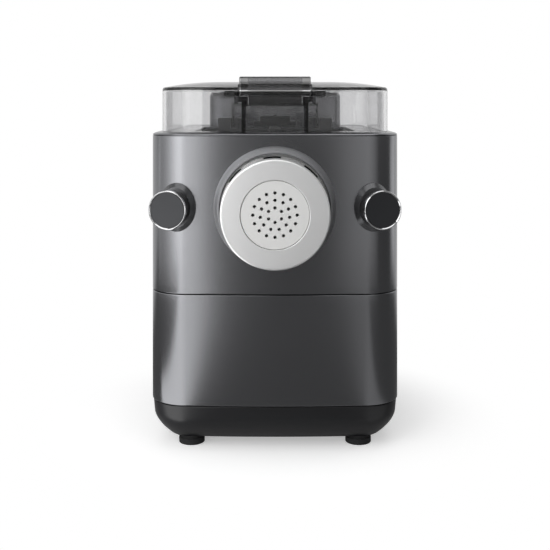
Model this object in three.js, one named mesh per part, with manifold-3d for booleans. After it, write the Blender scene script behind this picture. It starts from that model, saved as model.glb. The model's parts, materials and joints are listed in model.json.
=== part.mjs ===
// An electric pasta maker, built as separate pieces. Millimetres, +Z up, the nozzle faces -Y.
import * as THREE from 'three';
import { mergeVertices } from 'three/addons/utils/BufferGeometryUtils.js';
import Module from 'manifold-3d';

const wasm = await Module();
wasm.setup();

// Driving sizes, from the nozzle outwards to the casing
const nozzleReach = 60;
const tubeRadius = 40;
const tubeWall = 7;
const nutBand = 8.7;
const nutGap = 8.9;
const bossGap = 18.4;
const cornerGap = 8.2;
const chamberGap = 8;
const chamberDepth = 187.3;
const driveRoom = 104.7;
const baseBottom = 9;
const baseBevelHeight = 24;
const baseRise = 11;
const drawerHeight = 105.5;
const chamberDrop = 5.5;
const crownRadius = 1300;
const backRound = 28;
const cornerGrowth = 7;
const bevelGap = 7.6;
const baseCrease = 2;
const baseLip = 1;
const wall = 3;
const fit = 0.3;
const seam = 0.6;
const wrapGap = 11;
const cut = 5;
const weld = fit / 3000;
const frameThick = 2.6;
const troughWall = 2.5;

// Sizes of the boss and of the two round knobs
const bossReach = 15.3;
const bossLip = 2;
const bossTaper = 4.3;
const knobRadius = 19;
const knobTaper = 0.9;
const knobFootTaper = 4.2;
const knobReach = 27;
const knobTilt = THREE.MathUtils.degToRad(14);

// Sizes that follow from the nozzle and the rooms around it
const tubeBore = tubeRadius - tubeWall;
const nutRadius = tubeRadius + nutBand;
const bossRadius = nutRadius + nutGap;
const troughRadius = bossRadius + bossGap;
const frontRound = backRound + cornerGrowth;
const half = troughRadius + frontRound + cornerGap;
const bodyWidth = half * 2;
const bodyDepth = chamberGap + chamberDepth + driveRoom;
const baseBevelInset = backRound - bevelGap;
const baseTop = baseBottom + baseBevelHeight + baseRise;
const panelSeam = baseTop + drawerHeight;
const frameBottom = panelSeam + seam;
const axisHeight = frameBottom + frameThick + fit + troughWall + troughRadius;
const bodyTop = axisHeight + troughRadius - chamberDrop;
const frontY = (nozzleReach - bodyDepth) / 2;
const backY = frontY + bodyDepth;
const seamY = frontY + frontRound + wrapGap;
const cornerX = half - frontRound;
const cornerY = frontY + crownRadius - Math.sqrt((crownRadius - frontRound) ** 2 - cornerX ** 2);
const troughFront = frontY + chamberGap;
const troughBack = troughFront + chamberDepth;
const bulkheadY = troughBack + seam * 5;

// Finishes
const finish = (color, roughness, metalness, opacity = 1) =>
  new THREE.MeshStandardMaterial({ color, roughness, metalness, opacity, transparent: opacity < 1 });
const satinGrey = finish(0x4b4b4e, 0.42, 0.35);
const darkPlastic = finish(0x232426, 0.45, 0);
const glossBlack = finish(0x121315, 0.15, 0);
const smokyClear = finish(0x6f7174, 0.08, 0, 0.35);
const silver = finish(0xc2c3c6, 0.32, 0.9);
const chrome = finish(0xdcdddf, 0.12, 1);
const whitePlastic = finish(0xe6e6e4, 0.5, 0);
const greyPlastic = finish(0x8b8d90, 0.5, 0);
const steel = finish(0xa9abae, 0.35, 1);
const blackRubber = finish(0x161617, 0.85, 0);
const boardGreen = finish(0x1f5a3c, 0.6, 0);

const assembly = new THREE.Group();

// A closed solid from a geometry, with its shared vertices merged and its faces pointing out
function solid(geometry) {
  const bare = geometry.clone();
  bare.deleteAttribute('normal');
  bare.deleteAttribute('uv');
  const merged = mergeVertices(bare, weld);
  const place = merged.attributes.position;
  const index = merged.index.array;
  const kept = [];
  let volume = 0;
  const a = new THREE.Vector3();
  const b = new THREE.Vector3();
  const c = new THREE.Vector3();
  for (let i = 0; i < index.length; i += 3) {
    const [p, q, r] = [index[i], index[i + 1], index[i + 2]];
    if (p === q || q === r || r === p) continue;
    a.fromBufferAttribute(place, p);
    b.fromBufferAttribute(place, q);
    c.fromBufferAttribute(place, r);
    volume += a.dot(b.cross(c));
    kept.push(p, q, r);
  }
  if (volume < 0) {
    for (let i = 0; i < kept.length; i += 3) {
      [kept[i + 1], kept[i + 2]] = [kept[i + 2], kept[i + 1]];
    }
  }
  const vertProperties = new Float32Array(place.array);
  const triVerts = new Uint32Array(kept);
  return new wasm.Manifold(new wasm.Mesh({ numProp: 3, vertProperties, triVerts }));
}

const join = (first, ...rest) => rest.reduce((whole, piece) => whole.add(piece), first);
const carve = (first, ...rest) => rest.reduce((whole, piece) => whole.subtract(piece), first);

// A named mesh from a joined and cut solid
function add(name, body, material) {
  const made = body.getMesh();
  const geometry = new THREE.BufferGeometry();
  geometry.setAttribute('position', new THREE.BufferAttribute(made.vertProperties, 3));
  geometry.setIndex(new THREE.BufferAttribute(made.triVerts, 1));
  geometry.computeVertexNormals();
  const mesh = new THREE.Mesh(geometry, material);
  mesh.name = name;
  assembly.add(mesh);
}

// A box between two corners, turned by an optional change of place
function box(x0, x1, y0, y1, z0, z1, change) {
  const geometry = new THREE.BoxGeometry(x1 - x0, y1 - y0, z1 - z0);
  geometry.translate((x0 + x1) / 2, (y0 + y1) / 2, (z0 + z1) / 2);
  if (change) geometry.applyMatrix4(change);
  return solid(geometry);
}

// An upright slab over an outline seen from above
function slab(outline, z0, z1, change) {
  const geometry = new THREE.ExtrudeGeometry(new THREE.Shape(outline), { depth: z1 - z0, bevelEnabled: false });
  geometry.translate(0, 0, z0);
  if (change) geometry.applyMatrix4(change);
  return solid(geometry);
}

// A slab along Y over an outline of x and z
function slabAlongY(outline, y0, y1) {
  const geometry = new THREE.ExtrudeGeometry(new THREE.Shape(outline), { depth: y1 - y0, bevelEnabled: false });
  geometry.rotateX(Math.PI / 2);
  geometry.translate(0, y1, 0);
  return solid(geometry);
}

// A slab whose outline changes from one height to the next
function loft(outlines, heights) {
  const steps = heights.length - 1;
  const geometry = new THREE.ExtrudeGeometry(new THREE.Shape(outlines[0]), { depth: steps, steps, bevelEnabled: false });
  const place = geometry.attributes.position;
  for (let i = 0; i < place.count; i++) {
    const level = Math.round(place.getZ(i));
    const here = new THREE.Vector2(place.getX(i), place.getY(i));
    let nearest = 0;
    outlines[0].forEach((point, n) => {
      if (point.distanceTo(here) < outlines[0][nearest].distanceTo(here)) nearest = n;
    });
    place.setXYZ(i, outlines[level][nearest].x, outlines[level][nearest].y, heights[level]);
  }
  return solid(geometry);
}

// A turned piece from a closed profile of radius and place along Y
function turned(profile, sides, change) {
  const points = profile.map(([radius, along]) => new THREE.Vector2(radius, along));
  points.push(points[0].clone());
  const geometry = new THREE.LatheGeometry(points, sides);
  if (change) geometry.applyMatrix4(change);
  return solid(geometry);
}

const moved = (x, y, z) => new THREE.Matrix4().makeTranslation(x, y, z);
const onAxis = (height) => moved(0, 0, height);
const upright = (x, y, z) => moved(x, y, z).multiply(new THREE.Matrix4().makeRotationX(Math.PI / 2));
const alongX = (x, y, z) => moved(x, y, z).multiply(new THREE.Matrix4().makeRotationZ(-Math.PI / 2));

// A plain rod as a turned piece
const rod = (radius, from, to, sides, change) =>
  turned([[0, from], [radius, from], [radius, to], [0, to]], sides, change);

// The casing seen from above: a slightly crowned front, large front corners, smaller back corners
const crownSteps = 4;
const frontSteps = 6;
const backSteps = 4;

function outlineOf(size, inset) {
  const r = size.frontRound - inset;
  const rb = size.backRound - inset;
  const crown = size.crown - inset;
  const x = size.half - size.frontRound;
  const y = size.front + size.crown - Math.sqrt((size.crown - size.frontRound) ** 2 - x ** 2);
  const turn = Math.asin(x / (size.crown - size.frontRound));
  const right = [];
  const arc = (cx, cy, radius, from, to, steps) => {
    for (let i = 0; i < steps; i++) {
      const angle = from + ((to - from) * i) / steps;
      right.push(new THREE.Vector2(cx + radius * Math.sin(angle), cy - radius * Math.cos(angle)));
    }
  };
  arc(0, size.front + size.crown, crown, 0, turn, crownSteps);
  arc(x, y, r, turn, Math.PI / 2, frontSteps);
  right.push(new THREE.Vector2(size.half - inset, y));
  arc(size.half - size.backRound, size.back - size.backRound, rb, Math.PI / 2, Math.PI, backSteps);
  right.push(new THREE.Vector2(size.half - size.backRound, size.back - inset));
  const left = right.slice(1).reverse().map((point) => new THREE.Vector2(-point.x, point.y));
  return right.concat(left);
}

const bodySize = { half, front: frontY, back: backY, crown: crownRadius, frontRound, backRound };
const plan = (inset) => outlineOf(bodySize, inset);
const far = bodyWidth + bodyDepth;
const inFrontOf = (y, z0, z1) => box(-far, far, -far, y, z0, z1);
const behind = (y, z0, z1) => box(-far, far, y, far, z0, z1);

// The knob's own frame: t runs outwards along its axis from the centre of the body's round corner
const knobFrame = (side) =>
  moved(side * cornerX, cornerY, axisHeight).multiply(new THREE.Matrix4().makeRotationZ(side * knobTilt));
const outwards = (profile) => profile.map(([radius, t]) => [radius, -t]);

// Sizes of the base tray, its posts and vents
const postHeight = 7.7;
const postSize = 8;
const ventCount = 7;
const ventPitch = 14;
const ventWidth = 5;
const ventLength = 60;
const boardGap = 47;
const boardHalf = half - boardGap;
const boardFrontGap = 80;
const boardFront = frontY + boardFrontGap;
const boardBackGap = 120;
const boardBack = backY - boardBackGap;
const shelfThick = 2.7;

// Curved skirt of the base: its inset from the casing at each height
const skirtSteps = 5;
const skirtPower = 1.75;
function skirt(growth, bottom, top) {
  const outlines = [];
  const heights = [];
  const bevelTop = baseBottom + baseBevelHeight;
  for (let i = 0; i <= skirtSteps; i++) {
    const height = bottom + ((bevelTop - bottom) * i) / skirtSteps;
    const rise = (bevelTop - height) / baseBevelHeight;
    outlines.push(plan(baseCrease + (baseBevelInset - baseCrease) * rise ** skirtPower + growth));
    heights.push(height);
  }
  return loft([...outlines, plan(baseLip + growth)], [...heights, top]);
}

function baseTray() {
  const floor = baseBottom + wall;
  const outer = skirt(0, baseBottom, baseTop);
  const inner = skirt(wall, floor, baseTop + cut);
  let tray = outer.subtract(inner);
  for (let i = 0; i < ventCount; i++) {
    const x = (i - (ventCount - 1) / 2) * ventPitch;
    const y = backY - ventLength * 2;
    tray = tray.subtract(box(x - ventWidth / 2, x + ventWidth / 2, y, y + ventLength, baseBottom - cut, floor + cut));
  }
  for (const x of [-1, 1]) {
    for (const y of [boardFront + postSize, boardBack - postSize]) {
      const at = x * (boardHalf - postSize);
      const reach = postSize / 2;
      tray = tray.add(box(at - reach, at + reach, y - reach, y + reach, floor - wall / 2, floor + postHeight));
      const side = x * (half - wall - postSize * 2);
      const post = box(side - reach, side + reach, y - reach, y + reach, floor - wall / 2, baseTop - shelfThick - fit * 2);
      tray = tray.add(post.intersect(outer));
    }
  }
  return tray;
}
add('base_tray', baseTray(), darkPlastic);

// Four stepped feet
const footRadius = 12.5;
const footNeck = 10.8;
const footInset = 36;
const footSide = 38.2;
const footSpread = half - footSide;
const footStep = 5.6;
for (const [end, y] of [['front', frontY + footInset], ['back', backY - footInset]]) {
  for (const [name, side] of [['left', -1], ['right', 1]]) {
    const top = baseBottom - fit;
    const profile = [[0, 0], [footRadius - fit, 0], [footRadius, footStep / 4], [footRadius, footStep - fit],
      [footRadius - fit, footStep], [footNeck, footStep], [footNeck, top], [0, top]];
    add(`${end}_${name}_foot`, turned(profile, 14, upright(side * footSpread, y, 0)), blackRubber);
  }
}

// Shelf under the drawer, with a rail at each side
const shelfTop = baseTop - fit;
const shelfBack = bulkheadY - 2;
const shelf = slab(plan(baseCrease + wall + fit), shelfTop - shelfThick, shelfTop)
  .intersect(inFrontOf(shelfBack, 0, baseTop + cut));
add('drawer_shelf', shelf, greyPlastic);
const trayGap = 17;
const trayHalf = half - trayGap;
const railWidth = 5;
const railHeight = 13;
const railFront = seamY + wall;
for (const [name, side] of [['left_rail', -1], ['right_rail', 1]]) {
  const near = trayHalf + fit;
  const x0 = Math.min(side * near, side * (near + railWidth));
  const rail = box(x0, x0 + railWidth, railFront, shelfBack, shelfTop + fit, shelfTop + railHeight);
  add(name, rail, steel);
}

// Drawer: the lower front wraps both corners and carries an open tray
const trayHeight = 72;
const trayWall = 2.5;
const trayBackGap = 8.3;
const trayBack = bulkheadY - trayBackGap;
const trayFloor = shelfTop + fit;
const ribCount = 3;
const ribHeight = 34;
const shell = (z0, z1) => slab(plan(0), z0, z1).subtract(slab(plan(wall), z0 - cut, z1 + cut));
const drawerFront = shell(baseTop + seam, panelSeam - seam / 2).intersect(inFrontOf(seamY, 0, panelSeam + cut));
add('drawer_front', drawerFront, satinGrey);
const trayFront = frontY + wall + fit + crownRadius - Math.sqrt(crownRadius ** 2 - cornerX ** 2);
function drawerTray() {
  const flare = trayHalf - cornerX;
  const tip = [[-cornerX, trayFront], [cornerX, trayFront], [trayHalf, trayFront + flare], [trayHalf, trayBack],
    [-trayHalf, trayBack], [-trayHalf, trayFront + flare]];
  const middle = (trayFront + trayBack) / 2;
  const shareX = (trayHalf - trayWall) / trayHalf;
  const shareY = (trayBack - trayFront - trayWall * 2) / (trayBack - trayFront);
  const outer = tip.map(([x, y]) => new THREE.Vector2(x, y));
  const inner = tip.map(([x, y]) => new THREE.Vector2(x * shareX, middle + (y - middle) * shareY));
  let tray = slab(outer, trayFloor, trayFloor + trayHeight)
    .subtract(slab(inner, trayFloor + trayWall, trayFloor + trayHeight + cut));
  for (let i = 0; i < ribCount; i++) {
    const y = trayFront + ((trayBack - trayFront) * (i + 1)) / (ribCount + 1);
    tray = tray.add(box(-trayHalf + trayWall / 2, trayHalf - trayWall / 2, y, y + trayWall,
      trayFloor + trayWall / 2, trayFloor + ribHeight));
  }
  return tray;
}
add('drawer_tray', drawerTray(), greyPlastic);

// Sides and back of the machine in one piece, with rear vents and the opening of the power inlet
const inletX = 46;
const inletRise = 28;
const inletZ = baseTop + inletRise;
const inletHalf = 16;
const inletHeight = 12;
const slotCount = 9;
const slotPitch = 7;
const slotHeight = 3;
const slotHalf = 46;
const slotRise = 64;
const slotBase = baseTop + slotRise;
const deckEdge = 2.9;
const panelTop = bodyTop - deckEdge - fit;
function mainHousing() {
  let housing = shell(baseTop + seam, panelTop).intersect(behind(seamY + seam, 0, bodyTop));
  housing = housing.subtract(box(inletX - inletHalf - fit, inletX + inletHalf + fit, backY - wall * 2, backY + cut,
    inletZ - inletHeight - fit, inletZ + inletHeight + fit));
  for (let i = 0; i < slotCount; i++) {
    const z = slotBase + i * slotPitch;
    housing = housing.subtract(box(-slotHalf, slotHalf, backY - wall * 2, backY + cut, z, z + slotHeight));
  }
  const ledgeTop = panelSeam + fit;
  for (const side of [-1, 1]) {
    const x = [side * (half - wall / 2), side * (half - wall * 3)].sort((p, q) => p - q);
    housing = housing.add(box(x[0], x[1], seamY + wall, shelfBack, ledgeTop - wall, ledgeTop));
  }
  return housing;
}
add('main_housing', mainHousing(), satinGrey);
const frame = slab(plan(wall + fit), frameBottom, frameBottom + frameThick)
  .intersect(box(-far, far, seamY + wall, shelfBack, 0, bodyTop));
add('mid_frame', frame, greyPlastic);

// Front panel with its round boss and a hole for each knob
const recessFloor = 5;
const bendInShare = 0.3;
const bendOutShare = 0.6;
const knobStem = 5;
const collarGrowth = 4;
const collarRadius = knobRadius + collarGrowth;
const collarShare = 0.8;
const flangeThick = 3.4;
const seatThick = 5;
const holeSides = 14;
const stemHole = (side) => rod(knobStem + fit * 2, 0, -(frontRound + knobReach), holeSides, knobFrame(side));
function frontPanel() {
  let panel = shell(panelSeam + seam / 2, panelTop).intersect(inFrontOf(seamY, 0, bodyTop));
  const lipY = frontY - bossReach;
  const ring = turned([[tubeRadius + fit * 2, frontY + wall], [bossRadius, frontY + wall], [bossRadius, frontY],
    [bossRadius - bossTaper * bendInShare, frontY - bossReach * bendOutShare], [bossRadius - bossTaper, lipY],
    [bossRadius - bossTaper - bossLip, lipY], [bossRadius - bossTaper - bossLip, frontY - recessFloor],
    [tubeRadius + fit * 2, frontY - recessFloor]], 40, onAxis(axisHeight));
  panel = panel.add(ring);
  panel = panel.subtract(rod(tubeRadius + fit, frontY - nozzleReach, frontY + frontRound, 36, onAxis(axisHeight)));
  return carve(panel, stemHole(-1), stemHole(1));
}
add('front_panel', frontPanel(), satinGrey);

// Upright oval collars seated on the body's front corners
function knobCollar(side) {
  const oval = knobFrame(side).multiply(new THREE.Matrix4().makeScale(collarShare, 1, 1));
  const flange = rod(collarRadius, 0, -(frontRound + seatThick * 2), 28, oval);
  const flangeShell = slab(plan(-flangeThick), 0, bodyTop).subtract(slab(plan(-fit), -cut, bodyTop + cut));
  const seat = rod(knobRadius, 0, -(frontRound + seatThick), 28, oval);
  const clear = slab(plan(-fit), -cut, bodyTop + cut);
  return carve(flange.intersect(flangeShell).add(seat.subtract(clear)), stemHole(side));
}
for (const [name, side] of [['left', -1], ['right', 1]]) {
  add(`${name}_knob_collar`, knobCollar(side), darkPlastic);
}

// Knobs: grip with its stem, chrome ring, dark face
const ringLength = 4;
const ringThick = 2.1;
const camGap = 2;
const camGrowth = 4;
const camRadius = knobStem + camGrowth;
const camThick = 4;
for (const [name, side] of [['left', -1], ['right', 1]]) {
  const foot = frontRound + seatThick + fit;
  const face = frontRound + knobReach;
  const ringBase = face - ringLength;
  const tip = knobRadius - knobTaper;
  const inside = frontRound - wall - camGap;
  const grip = [[0, inside - camThick], [camRadius, inside - camThick], [camRadius, inside], [knobStem, inside],
    [knobStem, foot], [knobRadius - knobFootTaper, foot], [tip, ringBase], [0, ringBase]];
  add(`${name}_knob`, turned(outwards(grip), 24, knobFrame(side)), darkPlastic);
  const start = ringBase + fit;
  const bevel = ringThick / 4;
  const ring = [[tip - ringThick, start], [tip, start], [tip, face - bevel], [tip - bevel, face],
    [tip - ringThick + bevel, face], [tip - ringThick, face - bevel]];
  add(`${name}_knob_ring`, turned(outwards(ring), 24, knobFrame(side)), chrome);
  const faceEdge = tip - ringThick - fit;
  const cap = [[0, start], [faceEdge, start], [faceEdge, face - bevel * 2], [0, face - bevel * 2]];
  add(`${name}_knob_face`, turned(outwards(cap), 24, knobFrame(side)), darkPlastic);
}

// Extrusion tube, shaping disc and retaining nut
const discRoom = 8;
const tubeReach = nozzleReach - discRoom;
const tubeFlange = tubeRadius + tubeWall;
const crownSag = (reach) => crownRadius - Math.sqrt(crownRadius ** 2 - reach ** 2);
const flangeGap = wall + crownSag(tubeFlange) + fit;
const nutPlate = 5;
const nutSkirt = 26;
const nutFlange = 1.2;
const neckInset = 1.7;
const nutNeck = nutRadius - neckInset;
const nutInset = recessFloor + wall;
const notchCount = 8;
const notchShare = 0.42;
const notchDepth = 3;
const discShoulderGap = 2;
const discShoulder = tubeRadius - discShoulderGap;
const discGap = 2.6;
const discRadius = tubeBore - discGap;
const discFaceSink = 0.8;
const holeRadius = 1.5;
const holeRingStep = 6.5;
const holeCounts = [6, 11, 16];
const tube = turned([[tubeBore, frontY + flangeGap + wall], [tubeFlange, frontY + flangeGap + wall],
  [tubeFlange, frontY + flangeGap], [tubeRadius, frontY + flangeGap], [tubeRadius, frontY - tubeReach],
  [tubeBore, frontY - tubeReach]], 36, onAxis(axisHeight));
add('extrusion_tube', tube, steel);

function shapingDisc() {
  const seat = frontY - tubeReach - fit;
  const step = frontY - nozzleReach + nutPlate + fit;
  const face = frontY - nozzleReach + discFaceSink;
  let disc = turned([[0, seat], [discShoulder, seat], [discShoulder, step], [discRadius, step], [discRadius, face],
    [0, face]], 36, onAxis(axisHeight));
  for (const [ring, count] of holeCounts.entries()) {
    const radius = holeRingStep * (ring + 1);
    for (let i = 0; i < count; i++) {
      const angle = (i * 2 * Math.PI) / count;
      const at = moved(radius * Math.sin(angle), 0, axisHeight + radius * Math.cos(angle));
      disc = disc.subtract(rod(holeRadius, face - cut, seat + cut, 6, at));
    }
  }
  return disc;
}
add('shaping_disc', shapingDisc(), whitePlastic);

function retainingNut() {
  const face = frontY - nozzleReach;
  const rear = face + nutPlate + nutSkirt;
  const bore = tubeRadius + fit;
  const window = discRadius + fit;
  const bevel = nutFlange;
  let nut = turned([[window, face], [nutRadius - bevel, face], [nutRadius, face + bevel], [nutRadius, rear - notchDepth],
    [nutRadius + nutFlange, rear - notchDepth], [nutRadius + nutFlange, rear], [nutNeck, rear],
    [nutNeck, frontY - nutInset], [bore, frontY - nutInset],
    [bore, face + nutPlate], [window, face + nutPlate]], 40, onAxis(axisHeight));
  for (let i = 0; i < notchCount; i++) {
    const angle = (i * 2 * Math.PI) / notchCount;
    const reach = (nutRadius * Math.PI * notchShare) / notchCount;
    const turn = onAxis(axisHeight).multiply(new THREE.Matrix4().makeRotationY(angle));
    nut = nut.subtract(box(-reach, reach, rear - notchDepth, rear + cut, nutRadius - notchDepth, nutRadius + cut, turn));
  }
  return nut;
}
add('retaining_nut', retainingNut(), silver);

// Places of the lid's hinge and of the console behind it
const deckTop = bodyTop + fit;
const hingeGap = 20.7;
const hingeY = bulkheadY + hingeGap;
const consoleSide = 42.2;
const consoleBackGap = 4;
const consoleHeight = 34.7;
const consoleRise = 11;
const consoleRound = 14;
const consoleHalf = half - consoleSide;
const consoleFront = hingeY + wall;
const consoleBack = backY - consoleBackGap;
const consoleLow = deckTop + consoleHeight;
const consoleHigh = consoleLow + consoleRise;
const hingeRise = 4;
const hingeZ = consoleLow + hingeRise;
const pinRadius = 2;
const lugGrowth = 1.8;
const lugRadius = pinRadius + lugGrowth;
const lugWidth = 9;
const lugX = 50;

// Top deck with a rounded rim, open over the mixing chamber
const deckInset = 9.5;
const deckThick = 2.5;
const rimSteps = 4;
const openHalf = troughRadius + wall;
const openFrontGap = 30;
const openFront = troughFront + openFrontGap;
const openBackGap = 2.3;
const openBack = troughBack - openBackGap;
const blockGap = 12.2;
const blockY = bulkheadY + blockGap;
const blockDepth = 13;
const plungerRadius = 2;
const wireGap = 16;
const wireSide = 27;
const wireHalf = consoleHalf - wireSide;
const wireFront = consoleFront + wireGap;
const wireBack = consoleBack - wireGap;
function topDeck() {
  const outlines = [];
  const heights = [];
  for (let i = 0; i <= rimSteps; i++) {
    const angle = (i * Math.PI) / 2 / rimSteps;
    outlines.push(plan(deckInset * (1 - Math.cos(angle))));
    heights.push(bodyTop - deckEdge + deckEdge * Math.sin(angle));
  }
  const rim = loft(outlines, heights);
  const under = slab(plan(wall), bodyTop - deckEdge - cut, bodyTop - deckThick);
  const opening = box(-openHalf, openHalf, openFront, openBack, 0, bodyTop + cut);
  const wires = box(-wireHalf, wireHalf, wireFront, wireBack, 0, bodyTop + cut);
  const plungerHole = rod(plungerRadius + fit, 0, bodyTop + cut, 12, upright(0, blockY + fit * 10, 0));
  return carve(rim, under, opening, wires, plungerHole);
}
add('top_deck', topDeck(), satinGrey);

// Console behind the lid, with a sloped top that carries the controls
const slope = Math.atan2(consoleHigh - consoleLow, consoleBack - consoleFront);
const sloped = moved(0, consoleFront, consoleLow).multiply(new THREE.Matrix4().makeRotationX(slope));
const slopeLength = Math.hypot(consoleHigh - consoleLow, consoleBack - consoleFront);
const consoleSize = { half: consoleHalf, front: consoleFront, back: consoleBack, crown: crownRadius,
  frontRound: consoleRound, backRound: consoleRound };
const wellSide = 15;
const wellFront = 10;
const wellBack = 12.8;
const keyWell = { half: consoleHalf - wellSide, front: wellFront, back: slopeLength - wellBack };

const lugBlock = (x0, x1, y0, y1, z0) => box(x0, x1, y0, y1, z0, hingeZ);

function consoleShell() {
  const outer = slab(outlineOf(consoleSize, 0), deckTop, consoleHigh + cut * 2);
  const above = box(-far, far, -far, far, 0, far, sloped);
  const inner = slab(outlineOf(consoleSize, wall), deckTop - cut, consoleHigh + cut * 2);
  const aboveInner = box(-far, far, -far, far, -wall, far, sloped);
  const well = box(-keyWell.half, keyWell.half, keyWell.front, keyWell.back, -wall - cut, cut, sloped);
  let body = carve(outer, above, inner.subtract(aboveInner), well);
  for (const side of [-1, 1]) {
    const x = side * (lugX + lugWidth / 2 + fit);
    const x0 = Math.min(x, x + side * lugWidth);
    body = body.add(rod(lugRadius, x0, x0 + lugWidth, 16, alongX(0, hingeY, hingeZ)));
    body = body.add(lugBlock(x0, x0 + lugWidth, hingeY, consoleFront + wall, hingeZ - lugRadius * 2));
  }
  return body.subtract(rod(pinRadius + fit, -far, far, 12, alongX(0, hingeY, hingeZ)));
}
add('console_shell', consoleShell(), satinGrey);

// Console panel, window and keys, all in the console's sloped frame: x across, y up the slope, z out of it
const panelThick = 2.4;
const panelEdge = 3;
const panelBase = fit;
const panelFace = panelBase + panelThick;
const windowGap = 38;
const windowHalf = keyWell.half - windowGap;
const wellLength = keyWell.back - keyWell.front;
const windowShare = 0.4615;
const windowDepth = wellLength * windowShare;
const windowBack = keyWell.back - panelEdge - fit * 3;
const windowFront = windowBack - windowDepth;
const windowThick = 1.2;
const keyTravel = 1.5;
const keyProud = 1;
const keyLip = 1.6;
const keyLipThick = 1.5;
const keySides = 18;
const keyRadiusShare = 0.1154;
const keyRadius = wellLength * keyRadiusShare;
const powerGrowth = 1;
const startGrowth = 3;
const outerGap = 2.4;
const outerX = keyWell.half - wall - keyRadius - startGrowth - keyLip - outerGap;
const outerY = (windowFront + windowBack) / 2;
const rowY = keyWell.front + keyRadius + keyLip + wall / 2 + powerGrowth;
const rowPitch = 26;
const keys = [
  { name: 'power_key', x: -outerX, y: outerY, radius: keyRadius + powerGrowth },
  { name: 'start_key', x: outerX, y: outerY, radius: keyRadius + startGrowth },
  { name: 'menu_key', x: 0, y: rowY, radius: keyRadius },
  { name: 'minus_key', x: -rowPitch, y: rowY, radius: keyRadius },
  { name: 'plus_key', x: rowPitch, y: rowY, radius: keyRadius },
];
const inSlope = (x, y) => sloped.clone().multiply(upright(x, y, 0));
function consolePanel() {
  const size = { half: consoleHalf - panelEdge, front: panelEdge * 2, back: slopeLength - panelEdge,
    crown: crownRadius, frontRound: consoleRound - panelEdge, backRound: consoleRound - panelEdge };
  let panel = slab(outlineOf(size, 0), panelBase, panelFace, sloped);
  panel = panel.subtract(box(-windowHalf - fit, windowHalf + fit, windowFront - fit, windowBack + fit,
    panelFace - windowThick, panelFace + cut, sloped));
  for (const key of keys) {
    panel = panel.subtract(rod(key.radius + fit, -cut, cut * 2, keySides, inSlope(key.x, key.y)));
  }
  return panel;
}
add('console_panel', consolePanel(), glossBlack);
add('display_window', box(-windowHalf, windowHalf, windowFront, windowBack,
  panelFace - windowThick + fit, panelFace, sloped), glossBlack);
for (const key of keys) {
  const lipTop = 0;
  const profile = [[0, lipTop - keyLipThick], [key.radius + keyLip, lipTop - keyLipThick],
    [key.radius + keyLip, lipTop], [key.radius, lipTop], [key.radius, panelFace + keyProud], [0, panelFace + keyProud]];
  add(key.name, turned(profile, keySides, inSlope(key.x, key.y)), key.name === 'start_key' ? silver : greyPlastic);
}
const displayBoardDepth = keyLipThick + keyTravel + cut;
const displayBoardThick = 1.6;
function displayBoard() {
  const size = keyWell;
  const low = -displayBoardDepth;
  let board = box(-size.half + fit, size.half - fit, size.front + fit, size.back - fit, low, low + displayBoardThick, sloped);
  for (const side of [-1, 1]) {
    const x = side * (size.half - wall);
    board = board.add(box(x - wall / 2, x + wall / 2, size.front + wall, size.back - wall,
      low + displayBoardThick / 2, 0, sloped));
  }
  return board;
}
add('display_board', displayBoard(), boardGreen);

// Lid: clear walls, low domed top, a finger recess at the front and lugs at the back
const lidSide = 8.7;
const lidFrontGap = 1;
const lidRoundGap = 2;
const lidWall = 3;
const lidHeight = 42.7;
const lidDome = 5.6;
const domeSpreadShare = 0.4727;
const domeShares = [0, 0.12, 0.3, 0.55, 1];
const lidHalf = half - lidSide;
const lidFront = troughFront + lidFrontGap;
const lidBack = hingeY - lugRadius - fit;
const lidFrontRound = frontRound - lidRoundGap;
const lidBackRound = backRound - lidRoundGap * 2;
const lidTop = deckTop + lidHeight;
const tabHalf = 26;
const recessSide = 2.5;
const handleSide = 8;
const notchSide = 1.5;
const notchGap = 2;
const handleDrop = 3;
const handleAhead = 11;
const handleBehind = 8;
const handleGap = 2;
const latchPinInset = 8;
const latchPinDrop = 6;
const latchPinRadius = 2.8;
const latchLugGrowth = 1.1;
const latchPinLength = 10.5;
const recessHalf = tabHalf + recessSide;
const handleHalf = tabHalf + handleSide;
const notchHalf = handleHalf + notchSide;
const latchPinY = lidFront + latchPinInset;
const latchPinZ = lidTop - latchPinDrop;
const handleFront = latchPinY - handleAhead;
const handleBack = latchPinY + handleBehind;
const handleLow = latchPinZ - handleDrop;
const recessBack = handleBack + handleGap;
const notchFloor = handleLow - notchGap;
const latchLugRadius = latchPinRadius + latchLugGrowth;
const latchPinEnd = notchHalf + latchPinLength;
const latchLugEnd = latchPinEnd + lidFrontGap;
const blockHalf = 17.4;
const shoulderGrowth = 7;
const shoulderHalf = blockHalf + shoulderGrowth;
const rearNotchSide = 1.6;
const rearNotchHalf = shoulderHalf + rearNotchSide;
const shoulderRise = 5.9;
const shoulderTop = deckTop + shoulderRise;
const blockRise = 5.6;
const blockTop = shoulderTop + blockRise;
const rearNotchRise = 2.2;
const rearNotchTop = blockTop + rearNotchRise;
const lidSize = { half: lidHalf, front: lidFront, back: lidBack, crown: crownRadius, frontRound: lidFrontRound,
  backRound: lidBackRound };

function lidForm(inset, low, top) {
  const base = outlineOf(lidSize, inset);
  const middle = (lidFront + lidBack) / 2;
  const outlines = [base];
  const heights = [low];
  for (const share of domeShares) {
    const reach = 1 - domeSpreadShare * share;
    outlines.push(base.map((point) => new THREE.Vector2(point.x * reach, middle + (point.y - middle) * reach)));
    heights.push(top + lidDome * (1 - (1 - share) ** 2));
  }
  return loft(outlines, heights);
}

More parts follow.
